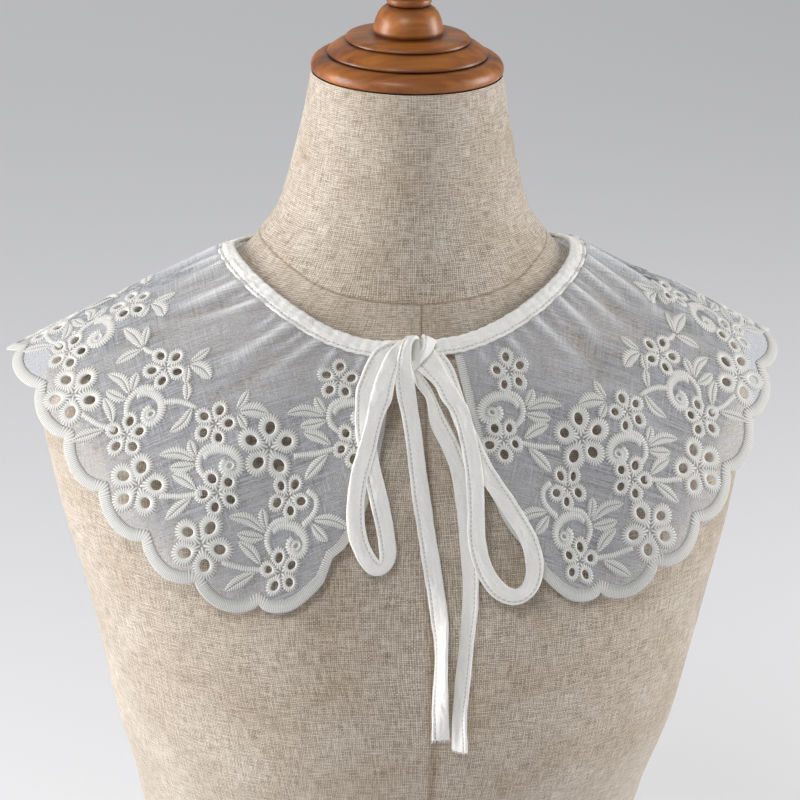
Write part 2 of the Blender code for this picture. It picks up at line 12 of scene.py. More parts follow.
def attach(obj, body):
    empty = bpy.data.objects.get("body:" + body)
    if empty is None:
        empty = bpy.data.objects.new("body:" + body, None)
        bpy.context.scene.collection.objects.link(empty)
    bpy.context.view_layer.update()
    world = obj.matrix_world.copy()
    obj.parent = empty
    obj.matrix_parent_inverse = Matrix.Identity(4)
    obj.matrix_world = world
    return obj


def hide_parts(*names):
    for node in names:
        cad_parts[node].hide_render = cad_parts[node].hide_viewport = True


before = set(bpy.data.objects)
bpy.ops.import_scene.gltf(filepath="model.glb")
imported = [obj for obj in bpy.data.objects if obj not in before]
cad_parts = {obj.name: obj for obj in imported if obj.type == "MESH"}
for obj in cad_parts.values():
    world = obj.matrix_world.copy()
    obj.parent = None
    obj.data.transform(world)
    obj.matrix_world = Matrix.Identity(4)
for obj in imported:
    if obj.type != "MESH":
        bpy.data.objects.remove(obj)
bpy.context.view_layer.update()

# THE CAMERA
# A long lens 1.9 m away, a little to the viewer's left of the form and 20 degrees above the
# collar, with the slight roll that the photograph has.
VIEW_TURN = math.radians(-9.1)
VIEW_RISE = math.radians(20.0)
VIEW_ROLL = math.radians(1.5)
VIEW_DISTANCE = 1.900
VIEW_TARGET = Vector((0.0008, 0.0, 0.4844))
FOCAL_SHARE = 3393 / 800        # focal length as a share of the picture's width
SENSOR = 36.0

lens = bpy.data.cameras.new("view")
lens.sensor_width = SENSOR
lens.lens = SENSOR * FOCAL_SHARE
camera = bpy.data.objects.new("view", lens)
bpy.context.scene.collection.objects.link(camera)
toward_camera = Vector((
    math.sin(VIEW_TURN) * math.cos(VIEW_RISE),
    -math.cos(VIEW_TURN) * math.cos(VIEW_RISE),
    math.sin(VIEW_RISE),
))
camera.location = VIEW_TARGET + toward_camera * VIEW_DISTANCE
camera.rotation_mode = "QUATERNION"
level = (-toward_camera).to_track_quat("-Z", "Y")
camera.rotation_quaternion = level @ Quaternion((0, 0, 1), VIEW_ROLL)
bpy.context.scene.camera = camera

# THE FLOOR AND THE LIGHT
# A pale grey studio floor that runs far behind the form. Two tall soft lamps stand at its
# sides, the stronger one on the viewer's left, with a weak one above and a pale room around.


def linear(colour):
    """An sRGB hex colour as the linear values that sockets take."""
    channels = [int(colour[i:i + 2], 16) / 255 for i in (1, 3, 5)]
    return (*[c / 12.92 if c < 0.04046 else ((c + 0.055) / 1.055) ** 2.4 for c in channels], 1.0)


def add_node(tree, kind, settings=None, links=None):
    """Add a shader node, set its properties and sockets, and link outputs to its sockets."""
    made = tree.nodes.new("ShaderNode" + kind)
    for key, value in (settings or {}).items():
        if isinstance(key, str) and hasattr(made, key):
            setattr(made, key, value)
        else:
            made.inputs[key].default_value = value
    for key, output in (links or {}).items():
        tree.links.new(output, made.inputs[key])
    return made


def new_material(name):
    """An empty node material, and its tree with a linked Principled shader."""
    made = bpy.data.materials.new(name)
    made.use_nodes = True
    tree = made.node_tree
    return made, tree, tree.nodes["Principled BSDF"]


FLOOR_SIZE = 14.0
floor_mesh = bpy.data.meshes.new("studio_floor")
floor_shape = bmesh.new()
bmesh.ops.create_grid(floor_shape, x_segments=2, y_segments=2, size=FLOOR_SIZE / 2)
floor_shape.to_mesh(floor_mesh)
floor_shape.free()
floor = bpy.data.objects.new("studio_floor", floor_mesh)
bpy.context.scene.collection.objects.link(floor)
floor_paint, _, floor_shader = new_material("studio_floor_paint")
floor_shader.inputs["Base Color"].default_value = linear("#EFEFF1")
floor_shader.inputs["Roughness"].default_value = 0.9
floor.data.materials.append(floor_paint)

LAMP_COLUMNS = ("name", "turn", "rise", "distance", "width", "height", "watts", "colour")
LAMPS = (
    ("left_softbox", -92.0, 8.0, 2.0, 0.7, 1.3, 42.0, "#FFFEFC"),
    ("right_softbox", 90.0, 12.0, 2.2, 0.7, 1.3, 35.0, "#FFFEFC"),
    ("front_fill", -30.0, 46.0, 2.6, 0.7, 0.7, 20.0, "#FBFCFF"),
)
for row in LAMPS:
    lamp = dict(zip(LAMP_COLUMNS, row))
    light = bpy.data.lights.new(lamp["name"], "AREA")
    light.shape = "RECTANGLE"
    light.size = lamp["width"]
    light.size_y = lamp["height"]
    light.energy = lamp["watts"]
    light.color = linear(lamp["colour"])[:3]
    holder = bpy.data.objects.new(lamp["name"], light)
    turn, rise = math.radians(lamp["turn"]), math.radians(lamp["rise"])
    reach = Vector((math.sin(turn) * math.cos(rise), -math.cos(turn) * math.cos(rise), math.sin(rise)))
    holder.location = VIEW_TARGET + reach * lamp["distance"]
    holder.rotation_euler = (-reach).to_track_quat("-Z", "Y").to_euler()
    bpy.context.scene.collection.objects.link(holder)

far_light = bpy.data.lights.new("floor_light", "AREA")
far_light.shape = "RECTANGLE"
far_light.size, far_light.size_y = 5.0, 2.4
far_light.energy = 22.0
far_holder = bpy.data.objects.new("floor_light", far_light)
far_holder.location = (-1.0, 4.2, 2.4)
bpy.context.scene.collection.objects.link(far_holder)

room = bpy.data.worlds.new("pale_room")
room.use_nodes = True
room.node_tree.nodes["Background"].inputs["Color"].default_value = linear("#F4F5F7")
room.node_tree.nodes["Background"].inputs["Strength"].default_value = 0.34
bpy.context.scene.world = room
bpy.context.scene.view_settings.view_transform = "Standard"

# THE LINEN COVER OF THE FORM
# A stuffed torso under slubby natural linen, plain woven. The neck is one piece, sewn to the
# shoulders along a curved seam, and the body has seams at the front, the back and the sides.
NECK_LEVEL = 575.0              # millimetres from the table to the side-neck points

FORM_COLUMNS = ("height", "half_width", "front", "back", "exponent")
FORM = (
    (-559.0, 176.0, 116.0, 126.0, 2.2), (-500.0, 177.0, 117.0, 127.0, 2.2),
    (-440.0, 160.0, 110.0, 112.0, 2.2), (-375.0, 137.0, 103.0, 97.0, 2.2),
    (-315.0, 146.0, 124.0, 110.0, 2.2), (-262.0, 160.0, 147.0, 126.0, 2.3),
    (-222.0, 168.0, 150.0, 135.0, 2.4), (-180.0, 178.0, 138.0, 138.0, 2.5),
    (-150.0, 187.0, 128.0, 136.0, 2.4), (-120.0, 194.0, 116.5, 129.0, 2.25),
    (-95.0, 199.0, 106.5, 119.0, 2.0), (-78.0, 200.0, 99.0, 110.0, 1.8),
    (-62.0, 194.0, 91.5, 101.0, 1.7), (-48.0, 179.0, 84.5, 90.0, 1.65),
    (-36.0, 159.0, 77.0, 80.0, 1.62), (-22.0, 132.0, 71.0, 71.0, 1.6),
    (-11.0, 108.0, 68.0, 66.0, 1.7), (-2.0, 89.0, 66.0, 62.0, 1.9),
    (9.0, 79.0, 63.5, 60.0, 2.0), (24.0, 69.0, 60.5, 58.0, 2.0),
    (69.0, 57.2, 54.7, 54.7, 2.0), (98.9, 51.9, 51.9, 51.9, 2.0),
)
# Height of the neck seam at angles from the centre front
NECK_SEAM = (
    (0.0, -12.0), (20.0, -10.0), (36.0, -5.0), (53.0, 2.0), (75.0, 7.5), (90.0, 8.5),
    (130.0, 9.0), (180.0, 9.0),
)
COVER_COLUMNS = 144             # points round the cover, besides those of the seams
BODY_ROWS = 150
NECK_ROWS = 60
SEAM_DEPTH = 0.35
SEAM_HALF_WIDTH = 1.3
BODY_SEAMS = (-180.0, -90.0, 0.0, 90.0, 180.0)
NECK_SEAMS = (-180.0, 180.0)
NEAR_EDGE = (0.0, 0.4, 0.8, 1.3, 2.0, 3.0)      # rows this near the neck seam


def named_rows(columns, rows):
    return [dict(zip(columns, row)) for row in rows]


def knots_of(columns, rows, key, value):
    """Two columns of a table as knots for smooth()."""
    return [(row[key], row[value]) for row in named_rows(columns, rows)]


def smooth(x, knots):
    """Values at x of the smooth curve through (x, value) knots, for whole arrays at once."""
    spots, values = np.array(knots, float).T
    x = np.clip(np.asarray(x, float), spots[0], spots[-1])
    low = np.clip(np.searchsorted(spots, x, side="right") - 1, 0, len(spots) - 2)
    before, after = np.maximum(low - 1, 0), np.minimum(low + 2, len(spots) - 1)
    span = spots[low + 1] - spots[low]
    t = (x - spots[low]) / span
    slope_low = (values[low + 1] - values[before]) / (spots[low + 1] - spots[before]) * span
    slope_high = (values[after] - values[low]) / (spots[after] - spots[low]) * span
    return (
        (2 * t**3 - 3 * t**2 + 1) * values[low] + (t**3 - 2 * t**2 + t) * slope_low
        + (3 * t**2 - 2 * t**3) * values[low + 1] + (t**3 - t**2) * slope_high
    )


FORM_KNOTS = {key: knots_of(FORM_COLUMNS, FORM, "height", key) for key in FORM_COLUMNS[1:]}


def torso(angle, height, inset=0.0):
    """Points of the form's surface; angles are in radians from the centre front."""
    width, front, back, exponent = (smooth(height, FORM_KNOTS[key]) for key in FORM_COLUMNS[1:])
    across, along = np.sin(angle), -np.cos(angle)
    power = 2.0 / exponent
    x = np.sign(across) * np.abs(across) ** power * (width - inset)
    y = np.sign(along) * np.abs(along) ** power * (np.where(along < 0, front, back) - inset)
    return np.stack([x, y, np.broadcast_to(height, x.shape)], -1)


def grid_faces(rows, columns, first=0, closed=False):
    """Quads between neighbouring rows of a grid of points, closed round each row or open."""
    i, j = np.meshgrid(np.arange(rows - 1), np.arange(columns - (not closed)), indexing="ij")
    low = first + i * columns
    beside = (j + 1) % columns
    return np.stack([low + j, low + beside, low + columns + beside, low + columns + j], -1).reshape(-1, 4)


def add_piece(name, points, faces, finish, uv=None, smooth_shading=True):
    """A mesh of points in millimetres from the neck level; it rides on the one body."""
    mesh = bpy.data.meshes.new(name)
    world = (np.asarray(points) + (0.0, 0.0, NECK_LEVEL)) / 1000.0
    mesh.from_pydata(world.tolist(), [], [tuple(face) for face in np.asarray(faces).tolist()])
    if uv is not None:
        corners = np.empty(len(mesh.loops), int)
        mesh.loops.foreach_get("vertex_index", corners)
        layer = mesh.uv_layers.new(name="thread_lines")
        layer.data.foreach_set("uv", (np.asarray(uv)[corners] / 1000.0).astype(np.float32).ravel())
    if smooth_shading:
        mesh.shade_smooth()
    mesh.update()
    piece = bpy.data.objects.new(name, mesh)
    piece.data.materials.append(finish)
    bpy.context.scene.collection.objects.link(piece)
    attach(piece, "root")
    return piece


# Natural linen, washed and matt. Its slubby threads, 0.95 mm apart, cross over and under, and
# it is darker where the pieces are turned in along a seam.
LINEN_THREAD = 0.95
LINEN_SLUB = 9.0                # length of a thick or thin place in a thread
linen, tree, shader = new_material("natural_linen_plain_weave")
lines = add_node(tree, "UVMap", {"uv_map": "thread_lines"})
drift = add_node(tree, "TexNoise", {"Scale": 70.0, "Detail": 2.0}, {"Vector": lines.outputs[0]})
drifted = add_node(
    tree, "VectorMath", {"operation": "MULTIPLY_ADD", 1: (0.0012, 0.0012, 0.0)},
    {0: drift.outputs["Color"], 2: lines.outputs[0]},
)
yarns = []
for stretch in ((LINEN_THREAD, LINEN_SLUB), (LINEN_SLUB, LINEN_THREAD)):
    scaled = add_node(
        tree, "Mapping", {"Scale": (1000 / stretch[0], 1000 / stretch[1], 1)}, {"Vector": drifted.outputs[0]}
    )
    yarns.append(add_node(
        tree, "TexNoise", {"Scale": 1.0, "Detail": 2.0, "Roughness": 0.6}, {"Vector": scaled.outputs[0]}
    ))
half_turns = add_node(
    tree, "Mapping", {"Scale": (math.pi * 1000 / LINEN_THREAD, math.pi * 1000 / LINEN_THREAD, 1)},
    {"Vector": drifted.outputs[0]},
)
axes = add_node(tree, "SeparateXYZ", {}, {0: half_turns.outputs[0]})
waves = [add_node(tree, "Math", {"operation": "SINE"}, {0: axes.outputs[k]}) for k in (0, 1)]
crossing = add_node(tree, "Math", {"operation": "MULTIPLY"}, {0: waves[0].outputs[0], 1: waves[1].outputs[0]})
warp_on_top = add_node(
    tree, "MapRange", {"From Min": -0.4, "From Max": 0.4, "To Min": 0.0, "To Max": 1.0},
    {"Value": crossing.outputs[0]},
)
yarn = add_node(
    tree, "Mix", {"data_type": "FLOAT"},
    {0: warp_on_top.outputs[0], 2: yarns[1].outputs[0], 3: yarns[0].outputs[0]},
)
crown_of_thread = add_node(tree, "Math", {"operation": "ABSOLUTE"}, {0: crossing.outputs[0]})
woven = add_node(
    tree, "Math", {"operation": "MULTIPLY_ADD", 1: 0.30}, {0: crown_of_thread.outputs[0], 2: yarn.outputs[0]}
)
tones = add_node(tree, "ValToRGB", {}, {"Fac": woven.outputs[0]})
tones.color_ramp.elements[0].position = 0.42
tones.color_ramp.elements[0].color = linear("#8A7A66")
tones.color_ramp.elements[1].position = 0.82
tones.color_ramp.elements[1].color = linear("#E8DED1")
patches = add_node(tree, "TexNoise", {"Scale": 26.0, "Detail": 4.0}, {"Vector": lines.outputs[0]})
patch_tones = add_node(tree, "ValToRGB", {}, {"Fac": patches.outputs[0]})
patch_tones.color_ramp.elements[0].position = 0.3
patch_tones.color_ramp.elements[0].color = linear("#E8E2DA")
patch_tones.color_ramp.elements[1].position = 0.7
patch_tones.color_ramp.elements[1].color = linear("#FFFFFF")
worn = add_node(
    tree, "Mix", {"data_type": "RGBA", "blend_type": "MULTIPLY", 0: 1.0},
    {6: tones.outputs[0], 7: patch_tones.outputs[0]},
)
near_seam = add_node(tree, "Attribute", {"attribute_name": "seam"})
seamed = add_node(
    tree, "Mix", {"data_type": "RGBA", "blend_type": "MULTIPLY", 7: linear("#D6CDC1")},
    {0: near_seam.outputs["Fac"], 6: worn.outputs[2]},
)
relief = add_node(tree, "Bump", {"Strength": 0.6, "Distance": 0.0005}, {"Height": woven.outputs[0]})
tree.links.new(seamed.outputs[2], shader.inputs["Base Color"])
tree.links.new(relief.outputs[0], shader.inputs["Normal"])
shader.inputs["Roughness"].default_value = 0.92
shader.inputs["Sheen Weight"].default_value = 0.25


def seamed_angles(seams):
    """Angles from back to back, with a close pair beside each seam, and 1 for those on a seam."""
    angles = [math.tau * i / COVER_COLUMNS - math.pi for i in range(COVER_COLUMNS + 1)]
    for seam in seams:
        beside = SEAM_HALF_WIDTH / 90.0
        angles += [math.radians(seam) + offset for offset in (-beside, beside)]
    angles = np.array(sorted(angle for angle in angles if abs(angle) < math.pi + 1e-9))
    apart = np.abs(angles[:, None] - np.radians(seams)[None, :]).min(axis=1)
    return angles, (apart < 1e-6).astype(float)


def cover_piece(name, seams, rows, bottom, top):
    """One sewn piece of the cover, turned in along its seams; a level left out is the neck seam's."""
    angles, on_seam = seamed_angles(seams)
    neck_line = smooth(np.degrees(np.abs(angles)), NECK_SEAM)
    low = neck_line if bottom is None else np.full(len(angles), bottom)
    high = neck_line if top is None else np.full(len(angles), top)
    length = np.mean(high - low)
    from_edge = np.concatenate([NEAR_EDGE, np.linspace(NEAR_EDGE[-1] + 1.0, length, rows)]) / length
    shares = 1.0 - from_edge[::-1] if top is None else from_edge
    edge = (1.0 - shares if top is None else shares) * length
    heights = low + (high - low) * shares[:, None]
    nearness = np.maximum(np.exp(-(edge / 0.6) ** 2)[:, None], on_seam[None, :])
    points = torso(np.broadcast_to(angles, heights.shape), heights, SEAM_DEPTH * nearness)
    run = np.linalg.norm(np.diff(points, axis=1), axis=-1).mean(axis=0)
    around = np.broadcast_to(np.concatenate([[0.0], np.cumsum(run)]), heights.shape)
    uv = np.stack([around, heights], -1).reshape(-1, 2)
    faces = grid_faces(len(shares), len(angles))
    piece = add_piece(name, points.reshape(-1, 3), faces, linen, uv=uv)
    layer = piece.data.attributes.new("seam", "FLOAT", "POINT")
    layer.data.foreach_set("value", nearness.astype(np.float32).ravel())
    return piece


body_cover = cover_piece("linen_body_cover", BODY_SEAMS, BODY_ROWS, FORM[0][0], None)
neck_cover = cover_piece("linen_neck_cover", NECK_SEAMS, NECK_ROWS, None, FORM[-1][0])
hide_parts("form_body")
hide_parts("form_body")

# THE BOARD AND THE TURNED CAP
# Beech, stained a warm red-brown and varnished. The cap is turned on a lathe in tiers with a
# ball on top, and the board under the torso is sawn to its outline with rounded edges.
CAP_COLUMNS = ("radius", "height")
CAP = (
    (0.0, 52.0), (3.2, 51.8), (6.0, 51.0), (8.2, 49.4), (9.5, 47.2), (10.1, 45.2), (10.0, 43.6),
    (9.2, 42.2), (8.6, 41.6), (9.8, 41.4), (11.4, 41.0), (12.1, 40.2), (12.3, 39.2), (12.1, 38.0),
    (11.4, 37.0), (10.8, 36.5), (12.0, 36.2), (14.6, 34.4), (16.4, 32.0), (17.6, 29.2),
    (18.4, 26.4), (18.9, 23.6), (18.9, 21.9), (18.3, 21.0), (20.0, 20.5), (22.5, 20.4), (27.0, 20.2),
    (31.0, 19.8), (32.8, 19.3), (33.8, 18.4), (33.8, 17.6), (32.8, 17.0), (35.4, 16.3),
    (38.6, 14.6), (41.0, 12.9), (42.8, 11.4), (43.5, 10.4), (43.4, 9.7), (42.5, 9.1),
    (45.6, 9.0), (48.8, 8.0), (50.8, 6.4), (51.9, 4.6), (52.3, 2.6), (52.1, 1.0), (51.2, 0.0),
    (0.0, 0.0),
)
# Where two turned shapes meet, painted shade darkens the stain in the crevice
CREVICES = ((8.6, 41.6), (10.8, 36.6), (19.0, 20.9), (33.2, 17.1), (42.9, 9.2))
CAP_SEAT = FORM[-1][0] + 0.3
CAP_STEPS = 96

# Beech with a brown stain under a satin varnish: long fine grain, and a soft gloss.
GRAIN_WIDTH = 1.6               # millimetres between grain lines
wood, tree, shader = new_material("stained_beech_varnished")
place_in_wood = add_node(tree, "TexCoord")
stretched = add_node(
    tree, "Mapping", {"Scale": (0.09, 1.0, 1.0), "Rotation": (0.1, 0.12, 0.3)},
    {"Vector": place_in_wood.outputs["Object"]},
)
grain = add_node(
    tree, "TexNoise", {"Scale": 1000 / GRAIN_WIDTH / 4, "Detail": 6.0, "Roughness": 0.62, "Distortion": 0.4},
    {"Vector": stretched.outputs[0]},
)
clouds = add_node(tree, "TexNoise", {"Scale": 38.0, "Detail": 2.0}, {"Vector": stretched.outputs[0]})
grain_mix = add_node(tree, "Math", {"operation": "ADD"}, {0: grain.outputs[0], 1: clouds.outputs[0]})
grain_half = add_node(tree, "Math", {"operation": "MULTIPLY", 1: 0.5}, {0: grain_mix.outputs[0]})
stain = add_node(tree, "ValToRGB", {}, {"Fac": grain_half.outputs[0]})
stain.color_ramp.elements[0].position = 0.34
stain.color_ramp.elements[0].color = linear("#6C340E")
stain.color_ramp.elements[1].position = 0.66
stain.color_ramp.elements[1].color = linear("#BC742C")
pores = add_node(tree, "Bump", {"Strength": 0.25, "Distance": 0.0003}, {"Height": grain.outputs[0]})
# Painted shade: the stain is mixed darker in the crevices between the turned shapes
painted_crevice_shade = add_node(tree, "Attribute", {"attribute_name": "painted_crevice_shade"})
stain_with_crevice_shade = add_node(
    tree, "Mix", {"data_type": "RGBA", "blend_type": "MULTIPLY", 7: linear("#6E5140")},
    {0: painted_crevice_shade.outputs["Fac"], 6: stain.outputs[0]},
)
tree.links.new(stain_with_crevice_shade.outputs[2], shader.inputs["Base Color"])
tree.links.new(pores.outputs[0], shader.inputs["Normal"])
shader.inputs["Roughness"].default_value = 0.42
shader.inputs["Coat Weight"].default_value = 0.08
shader.inputs["Coat Roughness"].default_value = 0.22

turns = np.linspace(0.0, math.tau, CAP_STEPS, endpoint=False)
profile = np.array(CAP)
ring = np.stack([
    profile[:, :1] * np.sin(turns), -profile[:, :1] * np.cos(turns),
    np.repeat(profile[:, 1:] + CAP_SEAT, CAP_STEPS, axis=1),
], -1)
cap_faces = grid_faces(len(CAP), CAP_STEPS, closed=True)
cap = add_piece("turned_cap", ring.reshape(-1, 3), cap_faces[:, ::-1], wood)
# Painted shade, strongest in each crevice and gone within a few millimetres
apart = np.linalg.norm(profile[:, None, :] - np.array(CREVICES)[None, :, :], axis=2).min(axis=1)
layer = cap.data.attributes.new("painted_crevice_shade", "FLOAT", "POINT")
layer.data.foreach_set("value", np.repeat(np.exp(-(apart / 1.6) ** 2), CAP_STEPS).astype(np.float32))
weld = bmesh.new()
weld.from_mesh(cap.data)
bmesh.ops.remove_doubles(weld, verts=weld.verts, dist=1e-6)
bmesh.ops.recalc_face_normals(weld, faces=weld.faces)
weld.to_mesh(cap.data)
weld.free()
cap.data.set_sharp_from_angle(angle=math.radians(50))
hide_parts("neck_cap")

BOARD_RIM = 3.0
BOARD_HEIGHT = 15.7
BOARD_EDGE = ((2.0, 0.0), (0.6, 0.5), (0.0, 2.0), (0.0, 13.7), (0.6, 15.2), (2.0, 15.7))
turns = np.linspace(0.0, math.tau, COVER_COLUMNS, endpoint=False)
board_rings = []
for inset, height in BOARD_EDGE:
    outline = torso(turns, np.full(COVER_COLUMNS, FORM[0][0]), inset - BOARD_RIM)
    outline[:, 2] = height - NECK_LEVEL
    board_rings.append(outline)
board_points = np.concatenate(board_rings)
board_faces = grid_faces(len(board_rings), COVER_COLUMNS, closed=True).tolist()
top_ring = (len(board_rings) - 1) * COVER_COLUMNS
board_mesh_faces = board_faces + [
    list(range(COVER_COLUMNS))[::-1], list(range(top_ring, top_ring + COVER_COLUMNS)),
]
board_mesh = bpy.data.meshes.new("base_plate")
board_mesh.from_pydata(
    ((board_points + (0.0, 0.0, NECK_LEVEL)) / 1000.0).tolist(), [], board_mesh_faces
)
board_mesh.shade_smooth()
board_mesh.set_sharp_from_angle(angle=math.radians(50))
board = bpy.data.objects.new("base_plate", board_mesh)
board.data.materials.append(wood)
bpy.context.scene.collection.objects.link(board)
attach(board, "root")
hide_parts("base_board")

# THE VOILE OF THE COLLAR
# Two halves of sheer ivory cotton voile, cut as ring sectors, gathered at the neckline and
# pierced where the eyelets are worked. Soft pleats run out from the neck and die away.
NECK_HALF_X = 102.0
NECK_FRONT = 82.0
NECK_BACK = 75.0
FRONT_START = 9.4
LOBES = 15
LOBE_DEPTH = 7.0
LOBE_ROUND = 0.7
PATTERN_ANGLE = 2.0
PATTERN_INNER = 152.0
GATHERS = 15
GATHER_HEIGHT = 1.3
GATHER_FADE = 26.0
GATHER_SHARE = 0.42
GATHER_SPREAD = 0.3
CROWN_FRONT = 7.0
CROWN_SHOULDER = 1.0
SHOULDER_SHARE = 0.52
SHOULDER_SPREAD = 0.16
VOILE_WALL = 0.3
COLLAR = (
    (36.0, -128.0, -146.0), (57.0, -131.0, -149.5), (78.0, -130.5, -160.0),
    (100.0, -126.0, -163.5), (134.0, -115.0, -150.0), (160.0, -95.0, -131.5),
    (179.0, -75.0, -112.0), (194.5, -54.0, -91.5), (207.5, -28.0, -73.0),
    (216.5, 4.0, -61.0), (215.0, 36.0, -66.0), (202.0, 68.0, -80.0), (173.0, 98.0, -98.0),
    (131.0, 122.0, -115.0), (86.0, 135.0, -126.0), (40.0, 141.0, -132.0), (0.0, 143.0, -134.0),
)
NECKLINE = (
    (0.0, -38.0), (15.0, -35.0), (30.0, -27.5), (45.0, -18.0), (60.0, -10.0), (75.0, -4.5),
    (90.0, -2.5), (105.0, -5.0), (120.0, -8.5), (150.0, -14.0), (180.0, -16.0),
)
# The neckline hangs lower on the viewer's left: how much, by degrees from the centre front.
# The drop dies away down the cape
DROOP = (
    (0.0, 0.0), (10.0, 1.2), (20.0, 3.8), (32.0, 5.2), (45.0, 4.6), (60.0, 2.8), (75.0, 1.0),
    (90.0, 0.0), (180.0, 0.0),
)
DROOP_REACH = 60.0
FRONT_EDGE = (
    (0.0, 0.0), (30.0, 0.5), (55.0, 2.0), (85.0, 6.5), (104.0, 14.0), (113.0, 22.0),
)
SPRIG_COLUMNS = (
    "upper_share", "upper_down", "upper_turn", "lower_share", "lower_down", "lower_turn",
    "large_share", "large_down", "large_turn",
)
SPRIGS = (
    (0.090, 17.0, 26.0, 0.040, 50.0, 58.0, 0.153, 67.0, 14.0),
    (0.108, 86.5, 46.0, 0.093, 125.5, 10.0, 0.178, 129.0, 38.0),
    (0.228, 70.0, 21.0, 0.186, 100.5, 57.0, 0.266, 120.0, 15.0),
    (0.331, 61.5, 39.0, 0.311, 102.5, 4.0, 0.390, 107.5, 27.0),
    (0.456, 54.5, 32.0, 0.440, 96.5, 70.0, 0.511, 102.0, 18.0),
    (0.570, 56.0, 44.0, 0.558, 98.0, 8.0, 0.630, 105.0, 36.0),
    (0.690, 60.0, 24.0, 0.677, 102.0, 58.0, 0.748, 110.0, 15.0),
    (0.808, 62.0, 40.0, 0.796, 104.0, 6.0, 0.868, 113.0, 28.0),
    (0.925, 62.0, 28.0, 0.912, 92.0, 62.0, 0.957, 115.0, 20.0),
)
PETALS = 5
FLOWER_COLUMNS = ("ring", "long", "wide", "border", "stitches")
FLOWER_SIZES = {
    "upper": (7.8, 5.6, 4.6, 2.8, 20),
    "lower": (7.8, 5.6, 4.6, 2.8, 20),
    "large": (10.4, 7.0, 5.8, 4.2, 26),
}
# Pleats and soft folds of each half: where each leaves the neckline or starts further down,
# where it ends, as shares of the way round and millimetres down, its height and half width
PLEAT_RISE = 1.7
PLEAT_COLUMNS = ("share", "start", "end_share", "end", "height", "width")
PLEATS_LEFT = (
    (0.058, 0.0, 0.070, 15.0, 0.7, 1.9), (0.116, 0.0, 0.130, 24.0, 0.9, 2.0),
    (0.156, 0.0, 0.212, 40.0, 1.3, 2.4), (0.188, 0.0, 0.214, 21.0, 0.9, 1.5),
    (0.219, 0.0, 0.276, 52.0, 1.7, 2.8), (0.252, 0.0, 0.262, 15.0, 0.9, 1.4),
    (0.298, 0.0, 0.402, 58.0, 1.9, 2.5), (0.330, 0.0, 0.340, 13.0, 1.0, 1.3),
    (0.357, 0.0, 0.400, 40.0, 2.0, 3.3), (0.392, 0.0, 0.400, 18.0, 1.0, 1.5),
    (0.431, 0.0, 0.446, 27.0, 1.7, 2.3), (0.466, 0.0, 0.500, 46.0, 1.5, 2.8),
    (0.510, 0.0, 0.540, 82.0, 1.8, 3.6), (0.566, 0.0, 0.570, 20.0, 1.1, 1.6),
    (0.611, 0.0, 0.624, 42.0, 1.6, 2.8), (0.652, 0.0, 0.648, 16.0, 1.0, 1.4),
    (0.701, 0.0, 0.714, 56.0, 1.5, 3.0), (0.772, 0.0, 0.764, 22.0, 1.1, 1.9),
    (0.838, 0.0, 0.850, 47.0, 1.3, 2.7), (0.915, 0.0, 0.920, 24.0, 0.8, 1.8),
    (0.330, 6.0, 0.410, 74.0, -1.3, 5.0), (0.484, 8.0, 0.520, 70.0, -1.4, 4.6),
    (0.192, 14.0, 0.250, 66.0, -0.9, 4.4), (0.660, 8.0, 0.690, 72.0, -1.3, 5.2),
    (0.180, 60.0, 0.205, 120.0, 0.8, 6.0), (0.455, 40.0, 0.430, 105.0, 1.3, 6.5),
    (0.650, 30.0, 0.640, 110.0, 1.2, 7.0), (0.840, 45.0, 0.850, 120.0, 1.1, 6.5),
)
PLEATS_RIGHT = (
    (0.048, 0.0, 0.056, 13.0, 0.7, 1.8), (0.084, 0.0, 0.090, 9.0, 0.6, 1.3),
    (0.116, 0.0, 0.130, 23.0, 1.0, 2.1), (0.152, 0.0, 0.160, 12.0, 0.8, 1.4),
    (0.186, 0.0, 0.212, 36.0, 1.5, 2.6), (0.224, 0.0, 0.226, 13.0, 0.9, 1.3),
    (0.258, 0.0, 0.266, 33.0, 1.8, 2.7), (0.284, 0.0, 0.287, 15.0, 0.9, 1.3),
    (0.304, 0.0, 0.322, 38.0, 2.0, 2.9), (0.334, 0.0, 0.335, 18.0, 1.0, 1.4),
    (0.360, 0.0, 0.355, 34.0, 2.1, 2.7), (0.386, 0.0, 0.380, 17.0, 1.1, 1.5),
    (0.412, 0.0, 0.388, 60.0, 2.2, 3.4), (0.442, 0.0, 0.434, 20.0, 1.2, 1.6),
    (0.471, 0.0, 0.414, 84.0, 2.0, 3.8), (0.516, 0.0, 0.508, 27.0, 1.4, 2.0),
    (0.560, 0.0, 0.556, 58.0, 1.7, 3.1), (0.618, 0.0, 0.622, 22.0, 1.1, 1.7),
    (0.675, 0.0, 0.666, 50.0, 1.5, 2.8), (0.742, 0.0, 0.750, 20.0, 1.0, 1.7),
    (0.806, 0.0, 0.814, 54.0, 1.3, 2.9), (0.880, 0.0, 0.874, 24.0, 0.9, 1.8),
    (0.500, 5.0, 0.452, 84.0, -1.8, 4.8), (0.330, 12.0, 0.345, 58.0, -1.3, 5.0),
    (0.440, 26.0, 0.400, 74.0, -1.0, 4.0), (0.230, 12.0, 0.240, 60.0, -1.1, 4.6),
    (0.640, 8.0, 0.640, 70.0, -1.4, 5.4),
    (0.230, 45.0, 0.250, 95.0, 0.9, 5.5), (0.520, 45.0, 0.500, 105.0, 1.3, 6.5),
    (0.720, 35.0, 0.730, 112.0, 1.1, 7.0),
)

edge_path = np.array(COLLAR)
edge_lengths = np.concatenate([[0.0], np.cumsum(np.linalg.norm(np.diff(edge_path, axis=0), axis=1))])
edge_shares = edge_lengths / edge_lengths[-1]
EDGE_KNOTS = [list(zip(edge_shares, edge_path[:, axis])) for axis in range(3)]


